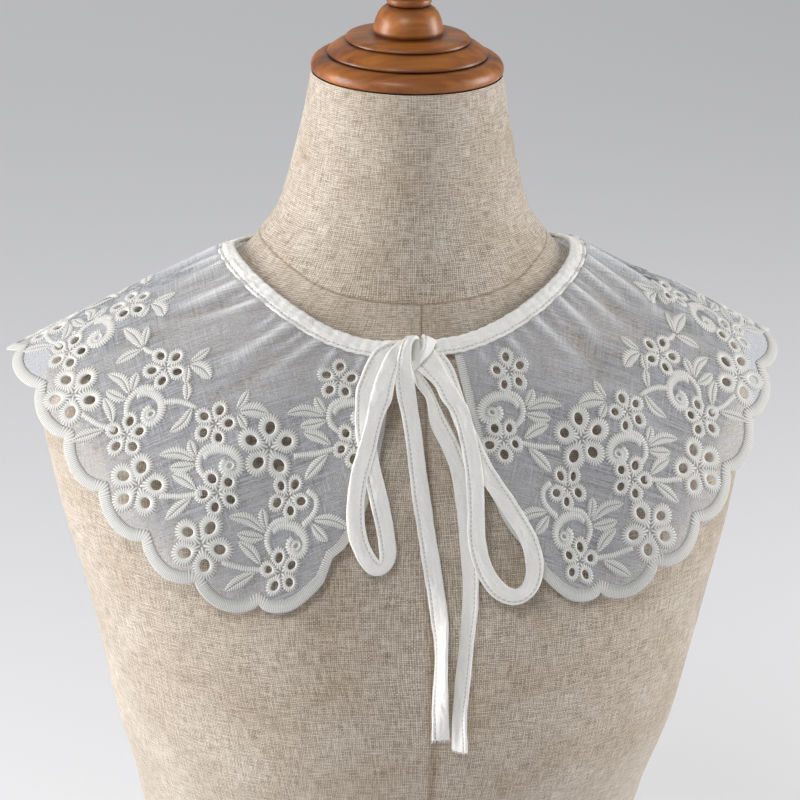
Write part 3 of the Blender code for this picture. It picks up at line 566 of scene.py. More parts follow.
def neck_points(degrees, out=0.0):
    """Points on the neckline, or that far outside it in plan."""
    turn = np.radians(degrees)
    depth = np.where(np.asarray(degrees) < 90.0, NECK_FRONT, NECK_BACK) + out
    return np.stack([
        (NECK_HALF_X + out) * np.sin(turn), -depth * np.cos(turn), smooth(degrees, NECKLINE),
    ], -1)


def droop(degrees, down):
    """How much lower the viewer's left half hangs."""
    return smooth(degrees, DROOP) * np.clip(1.0 - down / DROOP_REACH, 0.0, 1.2) ** 2


neck_steps = np.linspace(FRONT_START, 180.0, 91)
neck_runs = np.linalg.norm(np.diff(neck_points(neck_steps), axis=0), axis=1)
neck_shares = np.concatenate([[0.0], np.cumsum(neck_runs)]) / neck_runs.sum()
NECK_SHARE = list(zip(neck_shares, neck_steps))


def radials(share):
    """Both ends of the lines down the cape at these shares of the way round."""
    past = np.asarray(share) > 1.0
    share = np.where(past, 2.0 - np.asarray(share), share)
    start = neck_points(smooth(share, NECK_SHARE))
    end = np.stack([smooth(share, knots) for knots in EDGE_KNOTS], -1)
    mirror = np.where(past, -1.0, 1.0)[..., None] * (1.0, 0.0, 0.0) + (0.0, 1.0, 1.0)
    return start * mirror, end * mirror


def pleat_lift(share, down, pleats):
    """Height of the pleats and soft folds over the plain cape."""
    lift = np.zeros(np.broadcast(share, down).shape)
    for pleat in named_rows(PLEAT_COLUMNS, pleats):
        t = (down - pleat["start"]) / (pleat["end"] - pleat["start"])
        middle = pleat["share"] + (pleat["end_share"] - pleat["share"]) * t
        away = (share - middle) * PATTERN_ANGLE * (PATTERN_INNER + down)
        width = pleat["width"] * (1.0 + 0.8 * np.clip(t, 0.0, 1.0))
        fade_in = 1.0 if pleat["start"] == 0.0 else np.clip(t * 3.0, 0.0, 1.0)
        fade = np.clip(1.0 - t, 0.0, 1.0) ** 0.8 * np.where(t < -0.05, 0.0, 1.0) * fade_in
        bell = np.exp(-(away / width) ** 2) - 0.22 * np.exp(-(away / (2.4 * width)) ** 2)
        lift = lift + PLEAT_RISE * pleat["height"] * fade * bell
    return lift


def cape(flat, out, side):
    """Points of one half of the cape from places on its flat pattern and heights above it."""
    share = np.arctan2(flat[:, 1], flat[:, 0]) / PATTERN_ANGLE
    down = np.hypot(flat[:, 0], flat[:, 1]) - PATTERN_INNER
    start, end = radials(share)
    ahead, behind = radials(share + 0.004), radials(np.maximum(share - 0.004, 0.0))
    t = (down / np.linalg.norm(end - start, axis=1))[:, None]
    along = (ahead[0] - behind[0]) * (1 - t) + (ahead[1] - behind[1]) * t
    normal = np.cross(end - start, along)
    normal /= np.linalg.norm(normal, axis=1)[:, None]
    normal *= np.sign(normal[:, 2:])
    ridge = np.exp(-((share - SHOULDER_SHARE) / SHOULDER_SPREAD) ** 2)
    crown = CROWN_FRONT + (CROWN_SHOULDER - CROWN_FRONT) * ridge
    lift = crown * 4.0 * t[:, 0] * (1.0 - np.minimum(t[:, 0], 1.0))
    fade = np.exp(-np.maximum(down, 0) / GATHER_FADE - ((share - GATHER_SHARE) / GATHER_SPREAD) ** 2)
    lift += GATHER_HEIGHT * fade * 0.5 * (1.0 - np.cos(math.tau * GATHERS * share))
    lift += pleat_lift(share, down, PLEATS_LEFT if side < 0 else PLEATS_RIGHT)
    points = start * (1 - t) + end * t + normal * (lift + out)[:, None]
    if side < 0:
        points[:, 2] -= droop(smooth(share, NECK_SHARE), down)
    points[:, 0] *= side
    return points


def flat(share, down):
    """Places on the flat pattern: arcs of a ring round the neckline's centre."""
    radius, angle = PATTERN_INNER + np.asarray(down), np.asarray(share) * PATTERN_ANGLE
    return np.stack([radius * np.cos(angle), radius * np.sin(angle)], -1)


def width_at(share):
    start, end = radials(share)
    return np.linalg.norm(end - start, axis=-1)


EDGE_START = FRONT_EDGE[-1][1] / (PATTERN_INNER + FRONT_EDGE[-1][0]) / PATTERN_ANGLE
LOBE_POINTS = 24
FRONT_POINTS = 50
NECK_POINTS = 240
BACK_POINTS = 50


def scallops(points_each):
    """The scalloped edge on the flat pattern, from the front corner to the centre back."""
    total = LOBES * points_each
    share = EDGE_START + (1.0 - EDGE_START) * np.arange(total + 1) / total
    phase = (np.arange(total + 1) % points_each) / points_each
    dip = 1.0 - np.sin(math.pi * phase) ** LOBE_ROUND
    return flat(share, width_at(share) - LOBE_DEPTH * dip)


def front_edge(points):
    """The front edge on the flat pattern, from the neckline to the corner, just short of it."""
    down = np.linspace(0.0, FRONT_EDGE[-1][0], points, endpoint=False)
    swing = smooth(down, FRONT_EDGE)
    return flat(swing / (PATTERN_INNER + down) / PATTERN_ANGLE, down)


rng = np.random.default_rng(19)
eyelets = []
for sprig in named_rows(SPRIG_COLUMNS, SPRIGS):
    for part, size in FLOWER_SIZES.items():
        flower = dict(zip(FLOWER_COLUMNS, size))
        share = sprig[part + "_share"]
        turn = share * PATTERN_ANGLE + math.radians(sprig[part + "_turn"])
        middle = flat(share, sprig[part + "_down"])
        for petal in range(PETALS):
            toward = turn + math.tau * petal / PETALS + rng.normal(0.0, 0.05)
            outward = np.array((math.cos(toward), math.sin(toward)))
            eyelets.append({
                "middle": middle,
                "centre": middle + outward * flower["ring"] * (1.0 + rng.normal(0.0, 0.02)),
                "toward": toward,
                "tilt": toward + rng.normal(0.0, 0.3),
                "long": flower["long"] / 2 * (1.0 + rng.normal(0.0, 0.05)),
                "wide": flower["wide"] / 2 * (1.0 + rng.normal(0.0, 0.05)),
                "border": flower["border"],
                "stitches": flower["stitches"],
                "ring": flower["ring"],
            })


def eyelet_rim(eyelet, angles, grow=0.0):
    """Points round an eyelet's oval, the angles counted from the pattern's first axis."""
    turned = angles - eyelet["tilt"]
    reach = 1.0 / np.sqrt((np.cos(turned) / eyelet["long"]) ** 2 + (np.sin(turned) / eyelet["wide"]) ** 2)
    return eyelet["centre"] + np.stack([np.cos(angles), np.sin(angles)], -1) * (reach + grow)[:, None]


HOLE_POINTS = 16
GRID_STEP = 3.4
GRID_CLEAR = 1.3


def voile_cut():
    """The triangulated flat pattern of one half, with its eyelets cut out."""
    neck = flat(np.arange(NECK_POINTS) / NECK_POINTS, -1.2)
    back_end = float(width_at(np.array(1.0))) - LOBE_DEPTH
    back = flat(1.0, np.linspace(-1.2, back_end, BACK_POINTS, endpoint=False))
    edge = scallops(LOBE_POINTS)[::-1]
    front = front_edge(FRONT_POINTS)[:0:-1]
    outline = np.concatenate([neck, back, edge, front])
    hole_angles = np.linspace(0.0, math.tau, HOLE_POINTS, endpoint=False)
    rings = [outline] + [eyelet_rim(eyelet, hole_angles, 0.1) for eyelet in eyelets]
    owner = np.concatenate([np.full(len(ring), number) for number, ring in enumerate(rings)])
    spots = np.concatenate(rings)
    edges, first = [], 0
    for ring in rings:
        count = len(ring)
        edges += [(first + i, first + (i + 1) % count) for i in range(count)]
        first += count
    loose = []
    down, row = 1.6, 0
    while down < 158.0:
        step = 1.9 if down < 34.0 else GRID_STEP
        across = 1.3 if down < 34.0 else GRID_STEP
        count = int((PATTERN_INNER + down) * PATTERN_ANGLE / across)
        share = (np.arange(count) + 0.5 * (row % 2) + 0.25) / count
        swing = smooth(min(down, FRONT_EDGE[-1][0]), FRONT_EDGE) + GRID_CLEAR
        reach = scallop_reach(share) - GRID_CLEAR
        kept = (share * PATTERN_ANGLE * (PATTERN_INNER + down) > swing) & (down < reach)
        loose.append(flat(share[kept], down))
        down += step
        row += 1
    loose = np.concatenate(loose)
    centres = np.array([eyelet["centre"] for eyelet in eyelets])
    reaches = np.array([eyelet["long"] for eyelet in eyelets]) + GRID_CLEAR * 0.7
    apart = np.linalg.norm(loose[:, None, :] - centres[None, :, :], axis=2) - reaches
    loose = loose[apart.min(axis=1) > 0]
    owner = np.concatenate([owner, np.full(len(loose), -1)])
    spots = np.concatenate([spots, loose])
    verts, _, faces, origins, _, _ = delaunay_2d_cdt(
        [Vector(spot) for spot in spots.tolist()], edges, [], 1, 0.00001
    )
    homes = [owner[origin[0]] if origin else -1 for origin in origins]
    kept = []
    for face in faces:
        homes_here = {homes[i] for i in face}
        if not (len(homes_here) == 1 and homes_here.pop() > 0):
            kept.append(tuple(face))
    return np.array([(v.x, v.y) for v in verts]), kept


def scallop_reach(share):
    """How far down the cloth goes at these shares; before the front corner, none of it."""
    phase = (np.asarray(share) - EDGE_START) / (1.0 - EDGE_START) * LOBES % 1.0
    dip = 1.0 - np.sin(math.pi * phase) ** LOBE_ROUND
    reach = width_at(np.asarray(share)) - LOBE_DEPTH * dip
    return np.where(np.asarray(share) < EDGE_START, FRONT_EDGE[-1][0], reach)


# Cotton voile, bleached ivory: hard-twisted threads with open gaps, so what lies behind shows through, less
# where gathers bunch it. Its threads are 0.25 mm apart, and drawn 0.7 mm apart. Painted light follows the
# pleats: whiter and more opaque on their ridges, more see-through, so darker, in their hollows.
VOILE_THREAD = 0.7
GRAIN_TURN = math.radians(66.0)     # the warp's direction on the flat pattern
voile, tree, shader = new_material("cotton_voile_ivory")
lines = add_node(tree, "UVMap", {"uv_map": "thread_lines"})
threads = []
for stretch in ((36.0, VOILE_THREAD), (VOILE_THREAD, 20.0)):
    scaled = add_node(
        tree, "Mapping", {"Scale": (1000 / stretch[0], 1000 / stretch[1], 1)}, {"Vector": lines.outputs[0]}
    )
    threads.append(add_node(
        tree, "TexNoise", {"Scale": 1.0, "Detail": 1.0, "Roughness": 0.5}, {"Vector": scaled.outputs[0]}
    ))
weft = add_node(tree, "Math", {"operation": "MULTIPLY", 1: 0.7}, {0: threads[1].outputs[0]})
crossed = add_node(tree, "Math", {"operation": "ADD"}, {0: threads[0].outputs[0], 1: weft.outputs[0]})
cover = add_node(
    tree, "MapRange", {"From Min": 0.66, "From Max": 1.04, "To Min": 0.15, "To Max": 0.46},
    {"Value": crossed.outputs[0]},
)
# Partly the denser cloth of the gathers, partly painted light: high on the pleats' ridges, low in their hollows
bunching_and_painted_light = add_node(tree, "Attribute", {"attribute_name": "bunching_and_painted_light"})
denser = add_node(tree, "Math", {"operation": "MULTIPLY", 1: 0.30}, {0: bunching_and_painted_light.outputs["Fac"]})
cover = add_node(
    tree, "Math", {"operation": "ADD", "use_clamp": True}, {0: cover.outputs[0], 1: denser.outputs[0]}
)
weave = add_node(tree, "Bump", {"Strength": 0.3, "Distance": 0.0002}, {"Height": crossed.outputs[0]})
tree.links.new(cover.outputs[0], shader.inputs["Alpha"])
tree.links.new(weave.outputs[0], shader.inputs["Normal"])
# Painted highlight: whiter on the pleats' ridges and at the gathers, greyer elsewhere
painted_ridge_highlight = add_node(
    tree, "Mix", {"data_type": "RGBA", 6: linear("#CACED5"), 7: linear("#F0F1F2")}, {0: bunching_and_painted_light.outputs["Fac"]}
)
tree.links.new(painted_ridge_highlight.outputs[2], shader.inputs["Base Color"])
shader.inputs["Roughness"].default_value = 0.85
shader.inputs["Sheen Weight"].default_value = 0.2

voile_flat, voile_faces = voile_cut()
grain = np.array((math.cos(GRAIN_TURN), math.sin(GRAIN_TURN)))
voile_threads = np.stack([voile_flat @ grain, voile_flat @ (-grain[1], grain[0])], -1)
for side, word in ((-1, "left"), (1, "right")):
    points = cape(voile_flat, np.zeros(len(voile_flat)), side)
    share = np.arctan2(voile_flat[:, 1], voile_flat[:, 0]) / PATTERN_ANGLE
    down = np.hypot(voile_flat[:, 0], voile_flat[:, 1]) - PATTERN_INNER
    lift = pleat_lift(share, down, PLEATS_LEFT if side < 0 else PLEATS_RIGHT)
    # Denser cloth at the gathers, and painted light: high on the pleats' ridges, low in their hollows
    bunching_and_painted_light = np.clip(lift / 2.4, -0.55, 1.2) + 0.25 * np.exp(-np.maximum(down, 0) / 7.0)
    faces = voile_faces if side > 0 else [face[::-1] for face in voile_faces]
    half = add_piece(f"voile_{word}", points, faces, voile, uv=voile_threads)
    layer = half.data.attributes.new("bunching_and_painted_light", "FLOAT", "POINT")
    layer.data.foreach_set("value", bunching_and_painted_light.astype(np.float32))
    wall = half.modifiers.new("cloth", "SOLIDIFY")
    wall.thickness = VOILE_WALL / 1000
    wall.offset = 1.0
    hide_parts(f"collar_panel_{word}")

# THE SATIN STITCH
# White mercerised cotton, laid side by side over a padding. It rims each eyelet with petals,
# fills the leaves, stems and curls of nine sprigs on each half, and binds the scalloped edge.
CREST_DROP = 0.32               # the gap between two stitches lies this much lower

# Mercerised cotton thread, six strands: bright on the stitches' crests, and painted shade makes it grey in the
# gaps between them and at the needle holes. The painted shade comes as a value of each point.
thread, tree, shader = new_material("mercerised_cotton_thread")
place_in_thread = add_node(tree, "TexCoord")
fuzz = add_node(
    tree, "TexNoise", {"Scale": 1400.0, "Detail": 2.0}, {"Vector": place_in_thread.outputs["Object"]}
)
tint = add_node(tree, "ValToRGB", {}, {"Fac": fuzz.outputs[0]})
tint.color_ramp.elements[0].position = 0.3
tint.color_ramp.elements[0].color = linear("#E6E5E0")
tint.color_ramp.elements[1].position = 0.7
tint.color_ramp.elements[1].color = linear("#F5F4F0")
# Painted shade: each point's gap value mixes the thread to dark grey between the stitches
gap = add_node(tree, "Attribute", {"attribute_name": "gap"})
shaded = add_node(
    tree, "Mix", {"data_type": "RGBA", 7: linear("#504E4A")}, {0: gap.outputs["Fac"], 6: tint.outputs[0]}
)
strands = add_node(tree, "Bump", {"Strength": 0.25, "Distance": 0.0002}, {"Height": fuzz.outputs[0]})
tree.links.new(shaded.outputs[2], shader.inputs["Base Color"])
tree.links.new(strands.outputs[0], shader.inputs["Normal"])
shader.inputs["Roughness"].default_value = 0.62
shader.inputs["Sheen Weight"].default_value = 0.2


class Stitching:
    """Grids of satin stitch gathered on the flat pattern, to be laid on the cape as one mesh."""

    def __init__(self):
        self.spots, self.rises, self.gaps, self.faces, self.count = [], [], [], [], 0

    def add(self, spots, rises, gaps, closed_rows=False, closed_columns=False):
        rows, columns = rises.shape
        faces = grid_faces(rows, columns, closed=closed_columns)
        if closed_rows:
            last = (rows - 1) * columns
            for j in range(columns - (not closed_columns)):
                k = (j + 1) % columns
                faces = np.concatenate([faces, [[last + j, last + k, k, j]]])
        self.spots.append(spots.reshape(-1, 2))
        self.rises.append(rises.ravel())
        self.gaps.append(np.broadcast_to(gaps, rises.shape).ravel())
        self.faces.append(faces + self.count)
        self.count += rows * columns

    def lay(self, name, side):
        flat_spots, rises = np.concatenate(self.spots), np.concatenate(self.rises)
        points = cape(flat_spots, rises + VOILE_WALL, side)
        faces = np.concatenate(self.faces)
        piece = add_piece(name, points, faces if side > 0 else faces[:, ::-1], thread)
        layer = piece.data.attributes.new("gap", "FLOAT", "POINT")
        layer.data.foreach_set("value", np.concatenate(self.gaps).astype(np.float32))
        return piece


def walk(path, step):
    """Evenly spaced points along the smooth curve through a path, with their unit normals."""
    path = np.asarray(path, float)
    spans = np.linalg.norm(np.diff(path, axis=0), axis=1)
    along = np.concatenate([[0.0], np.cumsum(spans)])
    fine = np.linspace(0.0, along[-1], max(int(along[-1] / 0.3), 8))
    curve = np.stack([smooth(fine, list(zip(along, path[:, axis]))) for axis in (0, 1)], -1)
    lengths = np.concatenate([[0.0], np.cumsum(np.linalg.norm(np.diff(curve, axis=0), axis=1))])
    count = max(int(lengths[-1] / step), 2)
    even = np.linspace(0.0, lengths[-1], count + 1)
    points = np.stack([np.interp(even, lengths, curve[:, axis]) for axis in (0, 1)], -1)
    run = np.gradient(points, axis=0)
    run /= np.linalg.norm(run, axis=1)[:, None]
    return points, np.stack([-run[:, 1], run[:, 0]], -1), even / lengths[-1]


# Petals: stitches fan out round each eyelet, wrap its rim, and end raggedly. Between two
# petals they meet along the line halfway, and at the flower's middle they leave a small hole.
# The gap column is painted shade between the stitches, darkest at their ragged ends
RIM_COLUMNS = ("share", "rise", "gap")
RIM = (
    (0.0, -0.9, 0.4), (0.0, 0.15, 0.1), (0.10, 0.56, 0.2), (0.45, 0.66, 0.48), (0.80, 0.48, 0.8),
    (1.0, 0.02, 1.0),
)
MIDDLE_HOLE = 1.1


def add_petal(stitching, eyelet):
    count = eyelet["stitches"]
    angles = np.linspace(0.0, math.tau, 2 * count, endpoint=False) + eyelet["toward"]
    crest = np.arange(2 * count) % 2 == 0
    rim = eyelet_rim(eyelet, angles, -0.15)
    ray = np.stack([np.cos(angles), np.sin(angles)], -1)
    from_rim = rim - eyelet["middle"]
    turn = angles - eyelet["toward"]
    backward = (1.0 - np.cos(turn)) / 2
    border = eyelet["border"] * (1.0 - 0.25 * backward) + eyelet["ring"] * 0.45 * backward ** 6
    room = np.full(2 * count, 99.0)
    for flank in (-1, 1):
        limit = eyelet["toward"] + flank * math.pi / PETALS
        normal = flank * np.array((-math.sin(limit), math.cos(limit)))
        speed = ray @ normal
        gap = -(from_rim @ normal) - 0.05
        room = np.where(speed > 1e-3, np.minimum(room, gap / np.maximum(speed, 1e-3)), room)
    forward = np.array((math.cos(eyelet["toward"]), math.sin(eyelet["toward"])))
    toward_middle = -(ray @ forward)
    to_middle = (from_rim @ forward - MIDDLE_HOLE) / np.maximum(toward_middle, 1e-3)
    room = np.where(toward_middle > 1e-3, np.minimum(room, to_middle), room)
    ragged = np.where(crest, rng.uniform(-0.05, 0.55, 2 * count), -0.15)
    length = np.maximum(np.minimum(border + ragged, room + 0.2 * crest), 0.5)
    shares, rises, gaps = np.array(RIM).T
    spots = rim[:, None, :] + ray[:, None, :] * (length[:, None] * shares)[:, :, None]
    lower = np.where(crest, 0.0, CREST_DROP)[:, None] * (rises > 0.4)
    height = np.broadcast_to(rises, (2 * count, len(RIM))) - lower
    stitching.add(spots, height, np.where(crest, 0.0, 1.0)[:, None] * gaps, closed_rows=True)


# Bands: stitches across a path, for the stems and the curls. The profile is crowned.
# Third column: painted shade between the stitches, darkest at the band's edges
BAND = (
    (-1.0, 0.02, 1.0), (-0.76, 0.46, 0.7), (0.0, 0.60, 0.42), (0.76, 0.46, 0.7), (1.0, 0.02, 1.0),
)


def add_band(stitching, path, widths, pitch=1.3):
    """A band of stitches along a path, its half width read smoothly from widths."""
    points, normals, shares = walk(path, pitch / 2)
    half = smooth(shares, list(zip(np.linspace(0, 1, len(widths)), widths)))
    crest = np.arange(len(points)) % 2 == 0
    across, rises, gaps = np.array(BAND).T
    ragged = np.where(crest, rng.uniform(0.0, 0.45, len(points)), -0.12)
    reach = np.sign(across)[None, :] * ragged[:, None] * (np.abs(across) == 1.0)
    spots = points[:, None, :] + normals[:, None, :] * (half[:, None] * across + reach)[:, :, None]
    heights = rises - np.where(crest, 0.0, CREST_DROP)[:, None] * (rises > 0.1)
    ends = np.minimum(1.0, np.minimum(np.arange(len(points)), np.arange(len(points))[::-1]) / 1.5)
    stitching.add(spots, heights * ends[:, None], np.where(crest, 0.0, 1.0)[:, None] * gaps)


# Leaves: two rows of slanted stitches that meet at a sunken vein, with painted shade along the vein and between
# the stitches.
LEAF_PITCH = 1.35
LEAF = ((0.0, 0.12, 1.0), (0.15, 0.50, 0.6), (0.55, 0.58, 0.56), (0.86, 0.42, 0.8), (1.0, 0.02, 1.0))


def add_leaf(stitching, base, bend, tip, half_width, roundness=1.0):
    points, normals, shares = walk([base, bend, tip], LEAF_PITCH / 2)
    run = np.stack([normals[:, 1], -normals[:, 0]], -1)
    half = 1.22 * half_width * np.sin(math.pi * np.clip(shares, 0.02, 0.98) ** (0.85 * roundness)) ** 0.75
    crest = np.arange(len(points)) % 2 == 0
    for flank in (-1, 1):
        across, rises, gaps = np.array(LEAF).T
        ragged = np.where(crest, rng.uniform(0.0, 0.4, len(points)), -0.05 * half)
        reach = half[:, None] * across + ragged[:, None] * (across == 1.0)
        slant = half[:, None] * across * 0.55
        spots = (
            points[:, None, :] + flank * normals[:, None, :] * reach[:, :, None]
            + run[:, None, :] * slant[:, :, None]
        )
        heights = rises - np.where(crest, 0.0, CREST_DROP)[:, None] * (rises > 0.2)
        # Painted shade between the stitches and along the sunken vein
        vein_and_gap_shade = np.maximum(np.where(crest, 0.0, 1.0)[:, None] * gaps, 0.6 * (across == 0.0))
        if flank > 0:
            spots, heights, vein_and_gap_shade = spots[:, ::-1], heights[:, ::-1], vein_and_gap_shade[:, ::-1]
        stitching.add(spots, heights, vein_and_gap_shade)


# The sprig's own frame: millimetres from the lower flower towards the large one, and from the
# lower flower up to the upper one.
TO_LARGE = 46.5
TO_UPPER = 39.0
MAIN_STEM = ((-2.1, 27.5), (4.6, 24.8), (8.7, 20.7), (10.2, 16.5), (9.9, 12.2), (6.4, 7.4))
CURL = (
    (7.6, 18.6), (3.6, 22.6), (-2.3, 24.7), (-8.0, 24.6), (-12.1, 22.0), (-13.6, 17.8),
    (-12.2, 13.4), (-8.4, 11.2), (-4.6, 12.2), (-3.2, 15.6), (-5.2, 18.9),
)
BLIND_EYE = (-7.9, 15.9)
LOW_STEM = ((9.0, -1.6), (20.8, -4.3), (28.3, -4.8), (34.5, -5.2))
LEAF_COLUMNS = ("base", "bend", "tip", "half_width")
LEAVES = (
    ((11.4, 19.0), (13.6, 23.4), (14.9, 28.5), 2.5),
    ((12.2, 17.3), (22.0, 20.6), (33.0, 18.9), 2.7),
    ((11.8, 14.3), (19.4, 12.4), (27.5, 11.6), 2.7),
    ((12.4, 0.5), (18.6, 5.2), (26.2, 8.0), 2.8),
    ((15.5, -5.0), (23.4, -11.6), (31.0, -18.8), 2.8),
)
FRONT_SPRAY = (
    ((-13.0, 48.4), (-16.8, 54.0), (-20.0, 60.5), 2.2),
    ((-13.8, 47.4), (-23.0, 49.6), (-31.5, 48.6), 3.6),
    ((-13.2, 46.4), (-15.8, 42.6), (-18.2, 38.6), 2.2),
)
BACK_SPRAY_STEM = ((10.0, 42.3), (16.0, 40.6), (22.5, 40.2))
BACK_SPRAY = (
    ((22.5, 40.2), (33.0, 42.6), (43.0, 42.8), 3.3),
    ((21.8, 41.2), (25.6, 45.4), (28.6, 51.0), 2.2),
    ((21.4, 39.2), (27.4, 33.0), (32.2, 25.8), 2.5),
)
FIRST_ARM = ((-10.4, 45.3), (-16.0, 43.4), (-17.6, 39.0), (-15.4, 33.2), (-10.2, 27.0))
FIRST_ARM_LEAVES = (
    ((-16.6, 32.0), (-28.7, 35.1), (-38.5, 34.0), 2.7),
    ((-15.6, 29.6), (-21.4, 26.6), (-27.4, 24.0), 2.6),
)
LINK = ((-11.0, 24.0), (-18.0, 28.2), (-24.1, 30.6), (-33.6, 32.6))
LINK_LEAVES = (
    ((-25.0, 31.6), (-22.6, 35.6), (-18.4, 39.6), 2.3),
    ((-30.6, 31.4), (-30.4, 22.6), (-25.6, 14.4), 2.6),
)


def sprig_frame(sprig):
    """A function from the sprig's own frame to the flat pattern."""
    upper, lower, large = (flat(sprig[part + "_share"], sprig[part + "_down"]) for part in FLOWER_SIZES)

    def place(spot):
        return lower + (large - lower) * spot[0] / TO_LARGE + (upper - lower) * spot[1] / TO_UPPER

    return place


def add_leaves(stitching, place, leaves):
    for leaf in named_rows(LEAF_COLUMNS, leaves):
        add_leaf(
            stitching, place(leaf["base"]), place(leaf["bend"]), place(leaf["tip"]),
            leaf["half_width"],
        )


petals, sprays = Stitching(), Stitching()
for eyelet in eyelets:
    add_petal(petals, eyelet)
for number, sprig in enumerate(named_rows(SPRIG_COLUMNS, SPRIGS)):
    place = sprig_frame(sprig)
    add_band(sprays, [place(spot) for spot in MAIN_STEM], (1.6, 1.9, 1.9, 1.8, 1.4))
    add_band(sprays, [place(spot) for spot in CURL], (1.8, 2.4, 2.6, 2.4, 2.0, 1.6))
    add_petal(sprays, {
        "middle": place(BLIND_EYE) - (12.0, 0.0), "centre": place(BLIND_EYE), "toward": 0.0,
        "tilt": 0.9, "long": 1.7, "wide": 1.25, "border": 2.3, "stitches": 18, "ring": 0.0,
    })
    add_band(sprays, [place(spot) for spot in LOW_STEM], (1.4, 1.5, 1.4))
    add_leaves(sprays, place, LEAVES)
    if number >= 2:
        add_leaves(sprays, place, FRONT_SPRAY)
    if number % 2 and number >= 3:
        add_band(sprays, [place(spot) for spot in BACK_SPRAY_STEM], (1.2, 1.4, 1.2))
        add_leaves(sprays, place, BACK_SPRAY)
        add_band(sprays, [place(spot) for spot in LINK], (1.4, 1.6, 1.5, 1.2))
        add_leaves(sprays, place, LINK_LEAVES)
    if number == 1:
        add_band(sprays, [place(spot) for spot in FIRST_ARM], (1.6, 1.9, 1.9, 1.6))
        add_leaves(sprays, place, FIRST_ARM_LEAVES)

# The bound edge: stitches over the cut edge, both along the scallops and up the front.
EDGE_PITCH = 1.15
EDGE_WIDTH = 6.6
FRONT_WIDTH = 4.6
# Third column: painted shade between the stitches
EDGE_BAND = (
    (1.0, -0.75, 0.5), (1.0, 0.02, 1.0), (0.88, 0.32, 0.8), (0.50, 0.36, 0.5), (0.08, 0.33, 0.5),
    (-0.03, 0.04, 0.6), (-0.04, -0.45, 0.5), (0.12, -0.85, 0.4), (0.6, -0.85, 0.4),
)
border = Stitching()
corner_path = np.concatenate([front_edge(FRONT_POINTS), scallops(LOBE_POINTS)])
edge_spans = np.linalg.norm(np.diff(corner_path, axis=0), axis=1)
edge_along = np.concatenate([[0.0], np.cumsum(edge_spans)])
even = np.arange(0.0, edge_along[-1], EDGE_PITCH / 2)
rim_line = np.stack([np.interp(even, edge_along, corner_path[:, axis]) for axis in (0, 1)], -1)
soft_reach = 7
padded_rim = np.pad(rim_line, ((soft_reach, soft_reach), (0, 0)), mode="reflect", reflect_type="odd")
rim_run = padded_rim[2 * soft_reach:] - padded_rim[:-2 * soft_reach]
rim_run /= np.linalg.norm(rim_run, axis=1)[:, None]
inward = np.stack([-rim_run[:, 1], rim_run[:, 0]], -1)
toward_neck = -rim_line / np.linalg.norm(rim_line, axis=1)[:, None]
front_length = edge_along[FRONT_POINTS]
if (inward[-1] @ toward_neck[-1]) < 0:
    inward = -inward
crest = np.arange(len(even)) % 2 == 0
blend_in = np.clip((even - front_length + 12.0) / 24.0, 0.0, 1.0)
band_width = FRONT_WIDTH + (EDGE_WIDTH - FRONT_WIDTH) * blend_in
band_width = band_width + np.where(crest, rng.uniform(0.0, 0.5, len(even)), -0.15)
edge_shares_across, edge_rises, edge_gaps = np.array(EDGE_BAND).T
edge_spots = rim_line[:, None, :] + inward[:, None, :] * (band_width[:, None] * edge_shares_across)[:, :, None]
edge_heights = edge_rises - np.where(crest, 0.0, CREST_DROP * 0.7)[:, None] * (edge_rises > 0.3)
# Painted shade between the stitches, and a light painted shade on the crests of the whole band
edge_gap_shade = np.where(crest, 0.16, 1.0)[:, None] * edge_gaps
border.add(edge_spots, edge_heights, edge_gap_shade, closed_columns=True)

for side, word in ((-1, "left"), (1, "right")):
    petals.lay(f"eyelet_petals_{word}", side)
    sprays.lay(f"sprig_stitching_{word}", side)
    border.lay(f"scalloped_edge_{word}", side)

half_area = PATTERN_ANGLE / 2 * (
    np.mean((PATTERN_INNER + width_at(np.linspace(0, 1, 60)) - LOBE_DEPTH / 3) ** 2)
    - PATTERN_INNER ** 2
) / 1e6

# THE NECK BINDING, THE BOW AND THE TIES
# One bias strip of ivory cotton, folded in four and topstitched along its open edge. It binds
# the gathers, and its ends are tied in a soft bow and cut off straight, where they fray.
STRIP = 2.0
STRIP_WIDTH = 9.5
SEAM_GAP = 0.3
BINDING_LEFT = 7.6
BINDING_RIGHT = 4.0
BINDING_LEAN = 0.55

# Combed cotton, bleached: a close plain weave with a dry, soft face.
STRIP_THREAD = 0.7
strip_cloth, tree, shader = new_material("combed_cotton_bias_strip")
lines = add_node(tree, "UVMap", {"uv_map": "thread_lines"})
bias = add_node(
    tree, "Mapping", {"Scale": (1000 / STRIP_THREAD, 1000 / STRIP_THREAD, 1), "Rotation": (0, 0, math.pi / 4)},
    {"Vector": lines.outputs[0]},
)
ribs = add_node(tree, "TexNoise", {"Scale": 1.0, "Detail": 2.0}, {"Vector": bias.outputs[0]})
soft_tone = add_node(tree, "ValToRGB", {}, {"Fac": ribs.outputs[0]})
soft_tone.color_ramp.elements[0].position = 0.25
soft_tone.color_ramp.elements[0].color = linear("#E8E6E0")
soft_tone.color_ramp.elements[1].position = 0.75
soft_tone.color_ramp.elements[1].color = linear("#FAF9F6")
creased = add_node(tree, "Mapping", {"Scale": (110, 230, 1)}, {"Vector": lines.outputs[0]})
creases = add_node(tree, "TexNoise", {"Scale": 1.0, "Detail": 1.0}, {"Vector": creased.outputs[0]})
slack = add_node(tree, "Bump", {"Strength": 0.8, "Distance": 0.002}, {"Height": creases.outputs[0]})
nap = add_node(
    tree, "Bump", {"Strength": 0.8, "Distance": 0.0003}, {"Height": ribs.outputs[0], "Normal": slack.outputs[0]}
)
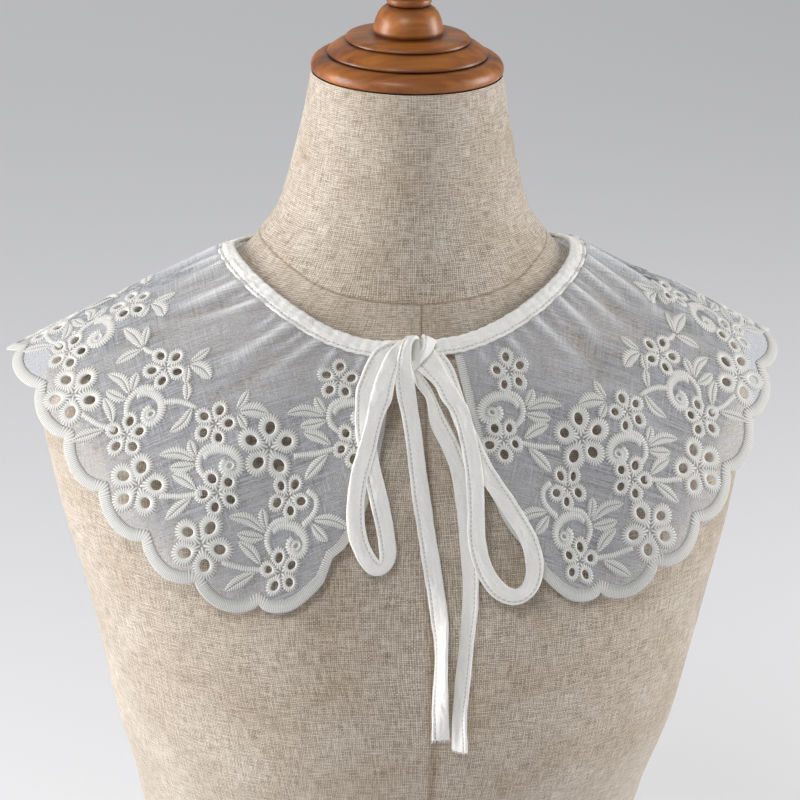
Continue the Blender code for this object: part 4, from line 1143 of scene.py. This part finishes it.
# Painted shade along the dip that the topstitching pulls in, darkest between the stitches
painted_dip_shade = add_node(tree, "Attribute", {"attribute_name": "painted_dip_shade"})
dip_shaded = add_node(
    tree, "Mix", {"data_type": "RGBA", 7: linear("#ACAAA4")}, {0: painted_dip_shade.outputs["Fac"], 6: soft_tone.outputs[0]}
)
tree.links.new(dip_shaded.outputs[2], shader.inputs["Base Color"])
tree.links.new(nap.outputs[0], shader.inputs["Normal"])
shader.inputs["Roughness"].default_value = 0.85
shader.inputs["Sheen Weight"].default_value = 0.2

# Section of the folded strip: across, as a share of its half width, and up, as a share of its
# half thickness. The dip is where the topstitching pulls it in
SECTION = (
    (1.00, 0.0), (0.985, 0.55), (0.93, 0.90), (0.80, 1.02), (0.67, 0.92), (0.585, 0.40),
    (0.50, 0.92), (0.35, 1.05), (0.0, 1.10), (-0.40, 1.08), (-0.75, 1.0), (-0.93, 0.84),
    (-0.985, 0.5), (-1.00, 0.0), (-0.985, -0.5), (-0.93, -0.85), (-0.6, -1.0), (0.0, -1.0),
    (0.6, -1.0), (0.93, -0.85), (0.985, -0.5),
)
STITCH_ACROSS = 0.585
DIP_COLUMN = 5
STITCH_LENGTH = 1.6
STITCH_GAP = 0.9
STITCH_RADIUS = 0.28


def strip_frames(middles, across):
    """Unit face normals along a strip."""
    run = np.gradient(middles, axis=0)
    face = np.cross(run, across)
    return face / np.linalg.norm(face, axis=1)[:, None]


def folded_strip(name, middles, across, stitch_side=1.0, swell=None):
    """A folded, topstitched strip along a line; across points to one side, half a width long."""
    face = strip_frames(middles, across)
    thick = np.full(len(middles), STRIP / 2) if swell is None else STRIP / 2 * swell
    section = np.array(SECTION)
    wide = across[:, None, :] * (section[:, 0] * stitch_side)[None, :, None]
    high = face[:, None, :] * (thick[:, None] * section[:, 1])[:, :, None]
    points = middles[:, None, :] + wide + high
    along = np.concatenate([[0.0], np.cumsum(np.linalg.norm(np.diff(middles, axis=0), axis=1))])
    around = np.concatenate([[0.0], np.cumsum(np.linalg.norm(np.diff(section * (4.75, 1.0), axis=0), axis=1))])
    uv = np.stack(np.broadcast_arrays(along[:, None], around[None, :]), -1).reshape(-1, 2)
    rows, columns = points.shape[:2]
    faces = grid_faces(rows, columns, closed=True).tolist()
    faces += [list(range(columns))[::-1], list(range((rows - 1) * columns, rows * columns))]
    piece = add_piece_with_ends(name, points.reshape(-1, 3), faces, strip_cloth, uv)
    # Painted shade in the topstitched dip, strongest between the stitches
    shade_between_stitches = 0.62 + 0.38 * np.cos(math.tau * (along - 2.4) / (STITCH_LENGTH + STITCH_GAP))
    dip_shade_values = np.where(np.arange(columns) == DIP_COLUMN, shade_between_stitches[:, None], 0.0)
    layer = piece.data.attributes.new("painted_dip_shade", "FLOAT", "POINT")
    layer.data.foreach_set("value", dip_shade_values.astype(np.float32).ravel())
    return piece, along[-1], face


def add_piece_with_ends(name, points, faces, finish, uv):
    """A tube with end faces, all turned outward."""
    mesh = bpy.data.meshes.new(name)
    mesh.from_pydata(((points + (0.0, 0.0, NECK_LEVEL)) / 1000.0).tolist(), [], faces)
    corners = np.empty(len(mesh.loops), int)
    mesh.loops.foreach_get("vertex_index", corners)
    layer = mesh.uv_layers.new(name="thread_lines")
    layer.data.foreach_set("uv", (uv[corners] / 1000.0).astype(np.float32).ravel())
    shape = bmesh.new()
    shape.from_mesh(mesh)
    bmesh.ops.recalc_face_normals(shape, faces=shape.faces)
    shape.to_mesh(mesh)
    shape.free()
    mesh.shade_smooth()
    mesh.set_sharp_from_angle(angle=math.radians(60))
    piece = bpy.data.objects.new(name, mesh)
    piece.data.materials.append(finish)
    bpy.context.scene.collection.objects.link(piece)
    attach(piece, "root")
    return piece


def topstitches(name, middles, across, face, stitch_side=1.0, both_faces=False):
    """A row of short raised stitches along the strip's dip."""
    along = np.concatenate([[0.0], np.cumsum(np.linalg.norm(np.diff(middles, axis=0), axis=1))])
    starts = np.arange(3.0, along[-1] - STITCH_LENGTH - 2.0, STITCH_LENGTH + STITCH_GAP)
    lens_shape = ((0.0, 0.12), (0.18, 0.75), (0.5, 1.0), (0.82, 0.75), (1.0, 0.12))
    ring = np.array([(math.cos(a), math.sin(a)) for a in np.linspace(0, math.tau, 6, endpoint=False)])
    points, faces, count = [], [], 0
    for sign in ((1.0, -1.0) if both_faces else (1.0,)):
        for start in starts:
            rows = []
            for share, thick in lens_shape:
                spot = start + share * STITCH_LENGTH
                middle, side, up = (
                    np.array([np.interp(spot, along, values[:, axis]) for axis in range(3)])
                    for values in (middles, across, face)
                )
                unit = side / np.linalg.norm(side)
                centre = middle + side * STITCH_ACROSS * stitch_side + up * sign * STRIP / 2 * 0.78
                rows.append(centre + (ring[:, :1] * unit + ring[:, 1:] * up) * STITCH_RADIUS * thick)
            points += rows
            faces.append(grid_faces(len(lens_shape), len(ring), first=count, closed=True))
            count += len(lens_shape) * len(ring)
    return add_piece(name, np.concatenate(points), np.concatenate(faces), thread)


BINDING_STEPS = 640
turns = BINDING_RIGHT + (360.0 - BINDING_RIGHT - BINDING_LEFT) * np.arange(BINDING_STEPS + 1) / BINDING_STEPS
degrees = np.minimum(turns, 360.0 - turns)
mirror = np.where(turns < 180.0, 1.0, -1.0)
binding_outer = neck_points(degrees, -SEAM_GAP)
binding_share = np.clip((degrees - FRONT_START) / (180.0 - FRONT_START), 0.0, 1.0)
start, end = radials(binding_share)
slope = start - end
slope /= np.linalg.norm(slope, axis=1)[:, None]
slope[:, 2] *= BINDING_LEAN
binding_half = slope / np.linalg.norm(slope, axis=1)[:, None] * STRIP_WIDTH / 2
binding_middle = binding_outer + binding_half + (0.0, 0.0, STRIP / 2)
pucker = 0.18 * np.sin(turns * 1.9) + 0.12 * np.sin(turns * 0.83 + 1.0)
binding_middle[:, 2] += pucker - np.where(turns > 180.0, droop(degrees, 0.0), 0.0)
for values in (binding_middle, binding_half):
    values[:, 0] *= mirror
binding, binding_length, binding_face = folded_strip(
    "bias_binding", binding_middle, binding_half, stitch_side=-1.0
)
binding_stitches = topstitches("binding_topstitch", binding_middle, binding_half, binding_face, -1.0)
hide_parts("neck_binding")

STRIP_COLUMNS = ("x", "z", "stand", "lean")
LOOP_LEFT = (
    (-12.4, -36.0, 13.4, 5.0), (-22.5, -43.0, 18.5, 5.0), (-28.8, -58.5, 18.5, 0.0),
    (-33.5, -73.5, 18.0, 0.0), (-39.3, -90.0, 18.0, 0.0), (-41.6, -106.0, 17.0, 0.0),
    (-40.3, -120.0, 15.0, 0.0), (-34.5, -132.5, 12.0, 0.0), (-28.6, -137.2, 8.0, 10.0),
    (-24.0, -132.0, 6.8, 10.0), (-25.0, -118.5, 7.5, 0.0), (-28.0, -103.5, 11.5, 0.0),
    (-31.0, -90.0, 13.8, 0.0), (-33.5, -77.0, 14.0, 0.0), (-35.0, -64.5, 14.0, 0.0),
    (-34.0, -51.0, 14.0, 0.0), (-28.5, -39.5, 13.5, 5.0), (-17.5, -33.0, 12.5, 10.0),
)
LOOP_RIGHT = (
    (3.2, -39.0, 13.4, 5.0), (10.0, -47.0, 16.8, 5.0), (16.5, -59.5, 16.5, 0.0),
    (20.2, -74.0, 16.0, 0.0), (22.6, -90.0, 15.0, 0.0), (23.2, -108.0, 12.5, 0.0),
    (23.3, -124.5, 11.5, 0.0), (27.5, -139.5, 10.5, 0.0), (35.5, -150.3, 9.0, 0.0),
    (44.6, -153.5, 9.0, 0.0), (52.0, -148.3, 10.0, 0.0), (54.4, -137.5, 11.5, 0.0),
    (51.2, -124.0, 12.8, 0.0), (43.2, -110.5, 12.8, 0.0), (34.1, -97.0, 12.5, 0.0),
    (26.7, -85.5, 11.8, 0.0), (21.1, -73.0, 11.2, 0.0), (15.5, -58.5, 11.0, 0.0),
    (8.5, -43.5, 9.5, 5.0),
)
TAIL_FRONT = (
    (-7.5, -43.6, 9.0, 0.0), (-10.1, -54.0, 9.8, 0.0), (-8.6, -69.5, 9.0, 0.0),
    (-6.8, -88.5, 8.0, 0.0), (-4.8, -106.0, 7.0, 0.0), (-2.3, -125.0, 6.5, 0.0),
    (-0.1, -141.0, 6.0, 0.0), (2.2, -157.5, 5.5, 15.0), (3.4, -172.0, 5.5, 45.0),
    (3.4, -185.5, 5.5, 60.0), (2.6, -199.0, 5.5, 50.0), (2.3, -212.5, 5.0, 25.0),
    (2.8, -227.0, 4.0, 0.0),
)
TAIL_BACK = (
    (-1.6, -43.0, 5.4, 0.0), (0.1, -54.5, 4.0, 0.0), (5.9, -67.5, 3.5, 0.0),
    (11.7, -79.0, 3.0, 0.0), (16.3, -91.5, 2.8, 0.0), (18.6, -106.5, 2.8, 5.0),
    (19.7, -124.0, 3.5, 20.0), (20.4, -139.5, 4.0, 30.0), (20.1, -155.5, 4.5, 40.0),
    (18.0, -171.5, 5.0, 50.0), (16.1, -186.5, 5.0, 50.0), (14.2, -201.0, 5.0, 50.0),
    (12.7, -216.0, 5.0, 50.0), (13.2, -234.0, 4.5, 40.0),
)
# Near the knot the strips are laid finer than in the solids, by both borders: x, z and stand
# of the one, and of the other. First rows, how many rows of the table they take the place of,
# and the same for the last rows of a loop
AT_KNOT = {
    "bow_loop_left": (
        ((-9.7, -26.2, 8.5, -7.2, -32.6, 7.5), (-14.7, -26.3, 13.5, -11.2, -32.5, 13.0),
         (-20.5, -30.6, 16.5, -14.4, -35.2, 16.0), (-24.7, -35.8, 18.3, -15.9, -39.2, 17.3),
         (-28.4, -43.0, 18.8, -18.2, -44.9, 18.0), (-31.3, -51.4, 18.5, -20.6, -52.7, 18.2)), 2,
        ((-26.9, -45.7, 14.0, -35.9, -44.1, 15.5), (-22.0, -37.2, 13.5, -28.2, -30.6, 15.5),
         (-16.9, -34.4, 11.5, -20.0, -26.9, 13.5), (-12.2, -33.6, 9.0, -13.7, -26.4, 10.5),
         (-8.3, -34.2, 7.0, -8.6, -27.6, 8.0)), 2,
    ),
    "bow_loop_right": (
        ((-7.5, -36.8, 8.0, 4.6, -31.8, 5.4), (-6.6, -39.0, 10.0, 7.4, -34.4, 8.2),
         (-3.3, -41.3, 12.5, 8.9, -38.4, 11.3), (0.3, -43.8, 14.5, 11.0, -42.2, 13.5),
         (3.9, -47.6, 15.5, 14.1, -46.5, 15.0), (6.5, -53.1, 16.5, 16.9, -51.8, 16.0)), 2,
        ((10.5, -42.0, 9.0, 5.0), (5.5, -36.0, 7.0, 5.0)), 1,
    ),
    "tie_tail_front": (
        ((-8.2, -38.5, 8.5, -1.6, -38.4, 7.5), (-8.2, -32.2, 9.0, -1.6, -31.5, 8.2),
         (-8.6, -26.3, 11.5, -2.3, -26.3, 10.0), (-10.3, -23.9, 14.0, -4.6, -23.9, 13.5),
         (-12.6, -25.2, 16.0, -7.1, -25.4, 16.0), (-14.4, -28.6, 17.2, -8.3, -28.7, 17.4),
         (-16.3, -34.6, 17.0, -8.5, -34.6, 17.0), (-17.1, -41.9, 15.8, -7.7, -41.9, 15.6),
         (-16.9, -49.5, 14.0, -6.9, -49.6, 13.5)), 2,
        (), 0,
    ),
    "tie_tail_back": (
        ((-7.6, -38.7, 8.0, -4.9, -37.6, 8.5), (-6.8, -41.3, 8.3, -4.1, -40.7, 8.8),
         (-6.4, -44.8, 7.3, -2.1, -43.6, 7.8), (-5.9, -48.3, 6.3, 0.7, -47.1, 6.3),
         (-3.0, -52.1, 5.5, 3.0, -51.7, 5.0), (0.3, -56.4, 5.0, 5.0, -56.4, 4.0)), 2,
        (), 0,
    ),
}
# The fold that closes the knot: over its top from behind, then down to a point
KNOT_FOLD = (
    (0.3, -27.0, 4.0, 7.6, -31.0, 3.2), (-1.5, -24.4, 9.0, 6.6, -28.6, 6.3),
    (-1.7, -25.5, 12.3, 5.6, -30.2, 7.6), (-1.8, -27.8, 14.0, 3.4, -31.9, 10.4),
    (-3.0, -30.3, 14.8, 0.6, -33.7, 13.2), (-4.8, -32.7, 15.0, -2.4, -35.4, 14.8),
    (-6.3, -36.1, 14.5, -4.5, -37.8, 14.5), (-8.0, -38.7, 12.5, -6.8, -40.3, 12.5),
)


def chest(x, height):
    """Depth of the form's front surface at points across and heights."""
    width, front, _, power = (smooth(height, FORM_KNOTS[key]) for key in FORM_COLUMNS[1:])
    share = np.minimum(np.abs(x) / width, 1.0)
    return -front * (1.0 - share ** power) ** (1.0 / power)


def strip_route(rows, step=0.8):
    """Middle line and width vectors of a strip of the bow, laid in front of the chest."""
    table, halves, laid = [], [], []
    for row in rows:
        if len(row) == 4:
            table.append(row)
            halves.append((0.0, 0.0, 0.0))
        else:
            borders = np.array((row[:3], row[3:]))
            x, z = borders[:, 0], borders[:, 1]
            ends = np.stack([x, chest(x, z) - borders[:, 2], z], -1)
            middle = ends.mean(axis=0)
            table.append((middle[0], middle[2], float(chest(middle[0], middle[2])) - middle[1], 0.0))
            halves.append((ends[0] - ends[1]) / 2)
        laid.append(float(len(row) != 4))
    table, order = np.array(table), np.arange(len(rows))
    coarse = np.linspace(0, len(rows) - 1, len(rows) * 12)
    values = np.stack([smooth(coarse, list(enumerate(table[:, k]))) for k in range(4)], -1)
    depth = chest(values[:, 0], values[:, 1]) - values[:, 2]
    line = np.stack([values[:, 0], depth, values[:, 1]], -1)
    lengths = np.concatenate([[0.0], np.cumsum(np.linalg.norm(np.diff(line, axis=0), axis=1))])
    even = np.linspace(0.0, lengths[-1], int(lengths[-1] / step))
    middles = np.stack([np.interp(even, lengths, line[:, axis]) for axis in range(3)], -1)
    lean = np.radians(np.interp(even, lengths, values[:, 3]))
    run = np.gradient(middles, axis=0)
    side = np.stack([run[:, 2], np.zeros(len(run)), -run[:, 0]], -1)
    side /= np.linalg.norm(side, axis=1)[:, None] + 1e-6
    toward = np.cross(run, side)
    toward /= np.linalg.norm(toward, axis=1)[:, None] + 1e-6
    across = (side * np.cos(lean)[:, None] + toward * np.sin(lean)[:, None]) * STRIP_WIDTH / 2
    spot = np.interp(even, lengths, coarse)
    share = np.interp(spot, order, laid)[:, None]
    halves = np.array(halves)
    by_borders = np.stack([smooth(spot, list(zip(order, halves[:, axis]))) for axis in range(3)], -1)
    across = across * (1.0 - share) + by_borders
    for reach, values in ((3, middles), (7, across)):
        padded = np.pad(values, ((reach, reach), (0, 0)), mode="edge")
        weights = [reach + 1 - abs(k) for k in range(-reach, reach + 1)]
        values[:] = sum(padded[k:k + len(values)] * w for k, w in enumerate(weights)) / sum(weights)
    return middles, across


BOW = {
    "bow_loop_left": LOOP_LEFT, "bow_loop_right": LOOP_RIGHT,
    "tie_tail_front": TAIL_FRONT, "tie_tail_back": TAIL_BACK,
}
SHOWN_NAMES = {
    "bow_loop_left": "left_loop", "bow_loop_right": "right_loop",
    "tie_tail_front": "front_tail", "tie_tail_back": "back_tail",
}
STITCH_SIDES = {
    "bow_loop_left": -1.0, "bow_loop_right": 1.0, "tie_tail_front": 1.0, "tie_tail_back": -1.0,
}
bow_pieces = {}
for node, rows in BOW.items():
    first, first_count, last, last_count = AT_KNOT[node]
    route = [*first, *rows[first_count:len(rows) - last_count], *last]
    middles, across = strip_route(route)
    steps = np.arange(len(middles)) * 0.73
    across = across * (1.0 + 0.025 * np.sin(steps * 0.21) + 0.012 * np.sin(steps * 0.57))[:, None]
    swell = 1.0 + 0.07 * np.sin(steps * 0.33) + 0.35 * np.exp(-steps / 14)
    side, across = -STITCH_SIDES[node], -across      # so the stitched face looks to the front
    piece, length, face = folded_strip(SHOWN_NAMES[node], middles, across, side, swell)
    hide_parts(node)
    stitches = topstitches(f"{SHOWN_NAMES[node]}_topstitch", middles, across, face, side, True)
    bow_pieces[node] = (piece, length, stitches, middles, across, face)

# Frayed ends: short loose threads stand out of each cut end.
FRAY_THREADS = 46
for node in ("tie_tail_front", "tie_tail_back"):
    _, _, _, middles, across, face = bow_pieces[node]
    ends = []
    run = middles[-1] - middles[-3]
    run /= np.linalg.norm(run)
    unit = across[-1] / np.linalg.norm(across[-1])
    fray_faces = []
    for i in range(FRAY_THREADS):
        where = rng.uniform(-1.05, 1.05)
        layer = rng.uniform(-0.8, 0.8)
        root = middles[-1] + across[-1] * where + face[-1] * layer
        reach = rng.uniform(0.8, 2.6)
        lean = unit * rng.normal(where * 0.35, 0.35) + face[-1] * rng.normal(0.0, 0.4)
        radius = rng.uniform(0.10, 0.18)
        base = len(ends)
        for share, thick in ((-0.4, 1.0), (0.35, 0.9), (0.75, 0.7), (1.0, 0.2)):
            spot = root + run * reach * share + lean * max(share, 0.0) ** 1.5 * reach * 0.5
            for corner in range(4):
                a = math.tau * corner / 4
                ends.append(spot + (unit * math.cos(a) + face[-1] * math.sin(a)) * radius * thick)
        fray_faces.append(grid_faces(4, 4, first=base, closed=True))
    add_piece(
        f"{SHOWN_NAMES[node]}_frayed_end", np.array(ends), np.concatenate(fray_faces), thread
    )

# The knot: its core, and the fold of the strip that closes it over the ends of the loops.
KNOT_MIDDLE = np.array((-3.5, float(chest(np.array(-3.5), np.array(-33.5))) - 4.8, -33.5))
KNOT_SIZE = np.array((8.6, 3.3, 7.4))
knot_shape = bmesh.new()
bmesh.ops.create_icosphere(knot_shape, subdivisions=4, radius=1.0)
for vertex in knot_shape.verts:
    x, y, z = vertex.co
    crease = 0.05 * math.sin(7.0 * x - 3.2 * z) + 0.03 * math.sin(12.0 * x + 3.0 * z + 1.0)
    vertex.co = Vector((x * KNOT_SIZE[0], y * KNOT_SIZE[1], z * KNOT_SIZE[2])) * (0.95 + crease)
knot_mesh = bpy.data.meshes.new("knot_core")
knot_shape.to_mesh(knot_mesh)
knot_shape.free()
knot_points = np.empty(len(knot_mesh.vertices) * 3)
knot_mesh.vertices.foreach_get("co", knot_points)
knot_faces = [tuple(face.vertices) for face in knot_mesh.polygons]
knot_points = knot_points.reshape(-1, 3) + KNOT_MIDDLE
knot = add_piece("knot_core", knot_points, knot_faces, strip_cloth, uv=knot_points[:, [0, 2]])
fold_middles, fold_across = strip_route(KNOT_FOLD, 0.6)
fold, _, _ = folded_strip("knot_fold", fold_middles, -fold_across, -1.0)
for piece in (knot, fold):
    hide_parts("bow_knot")
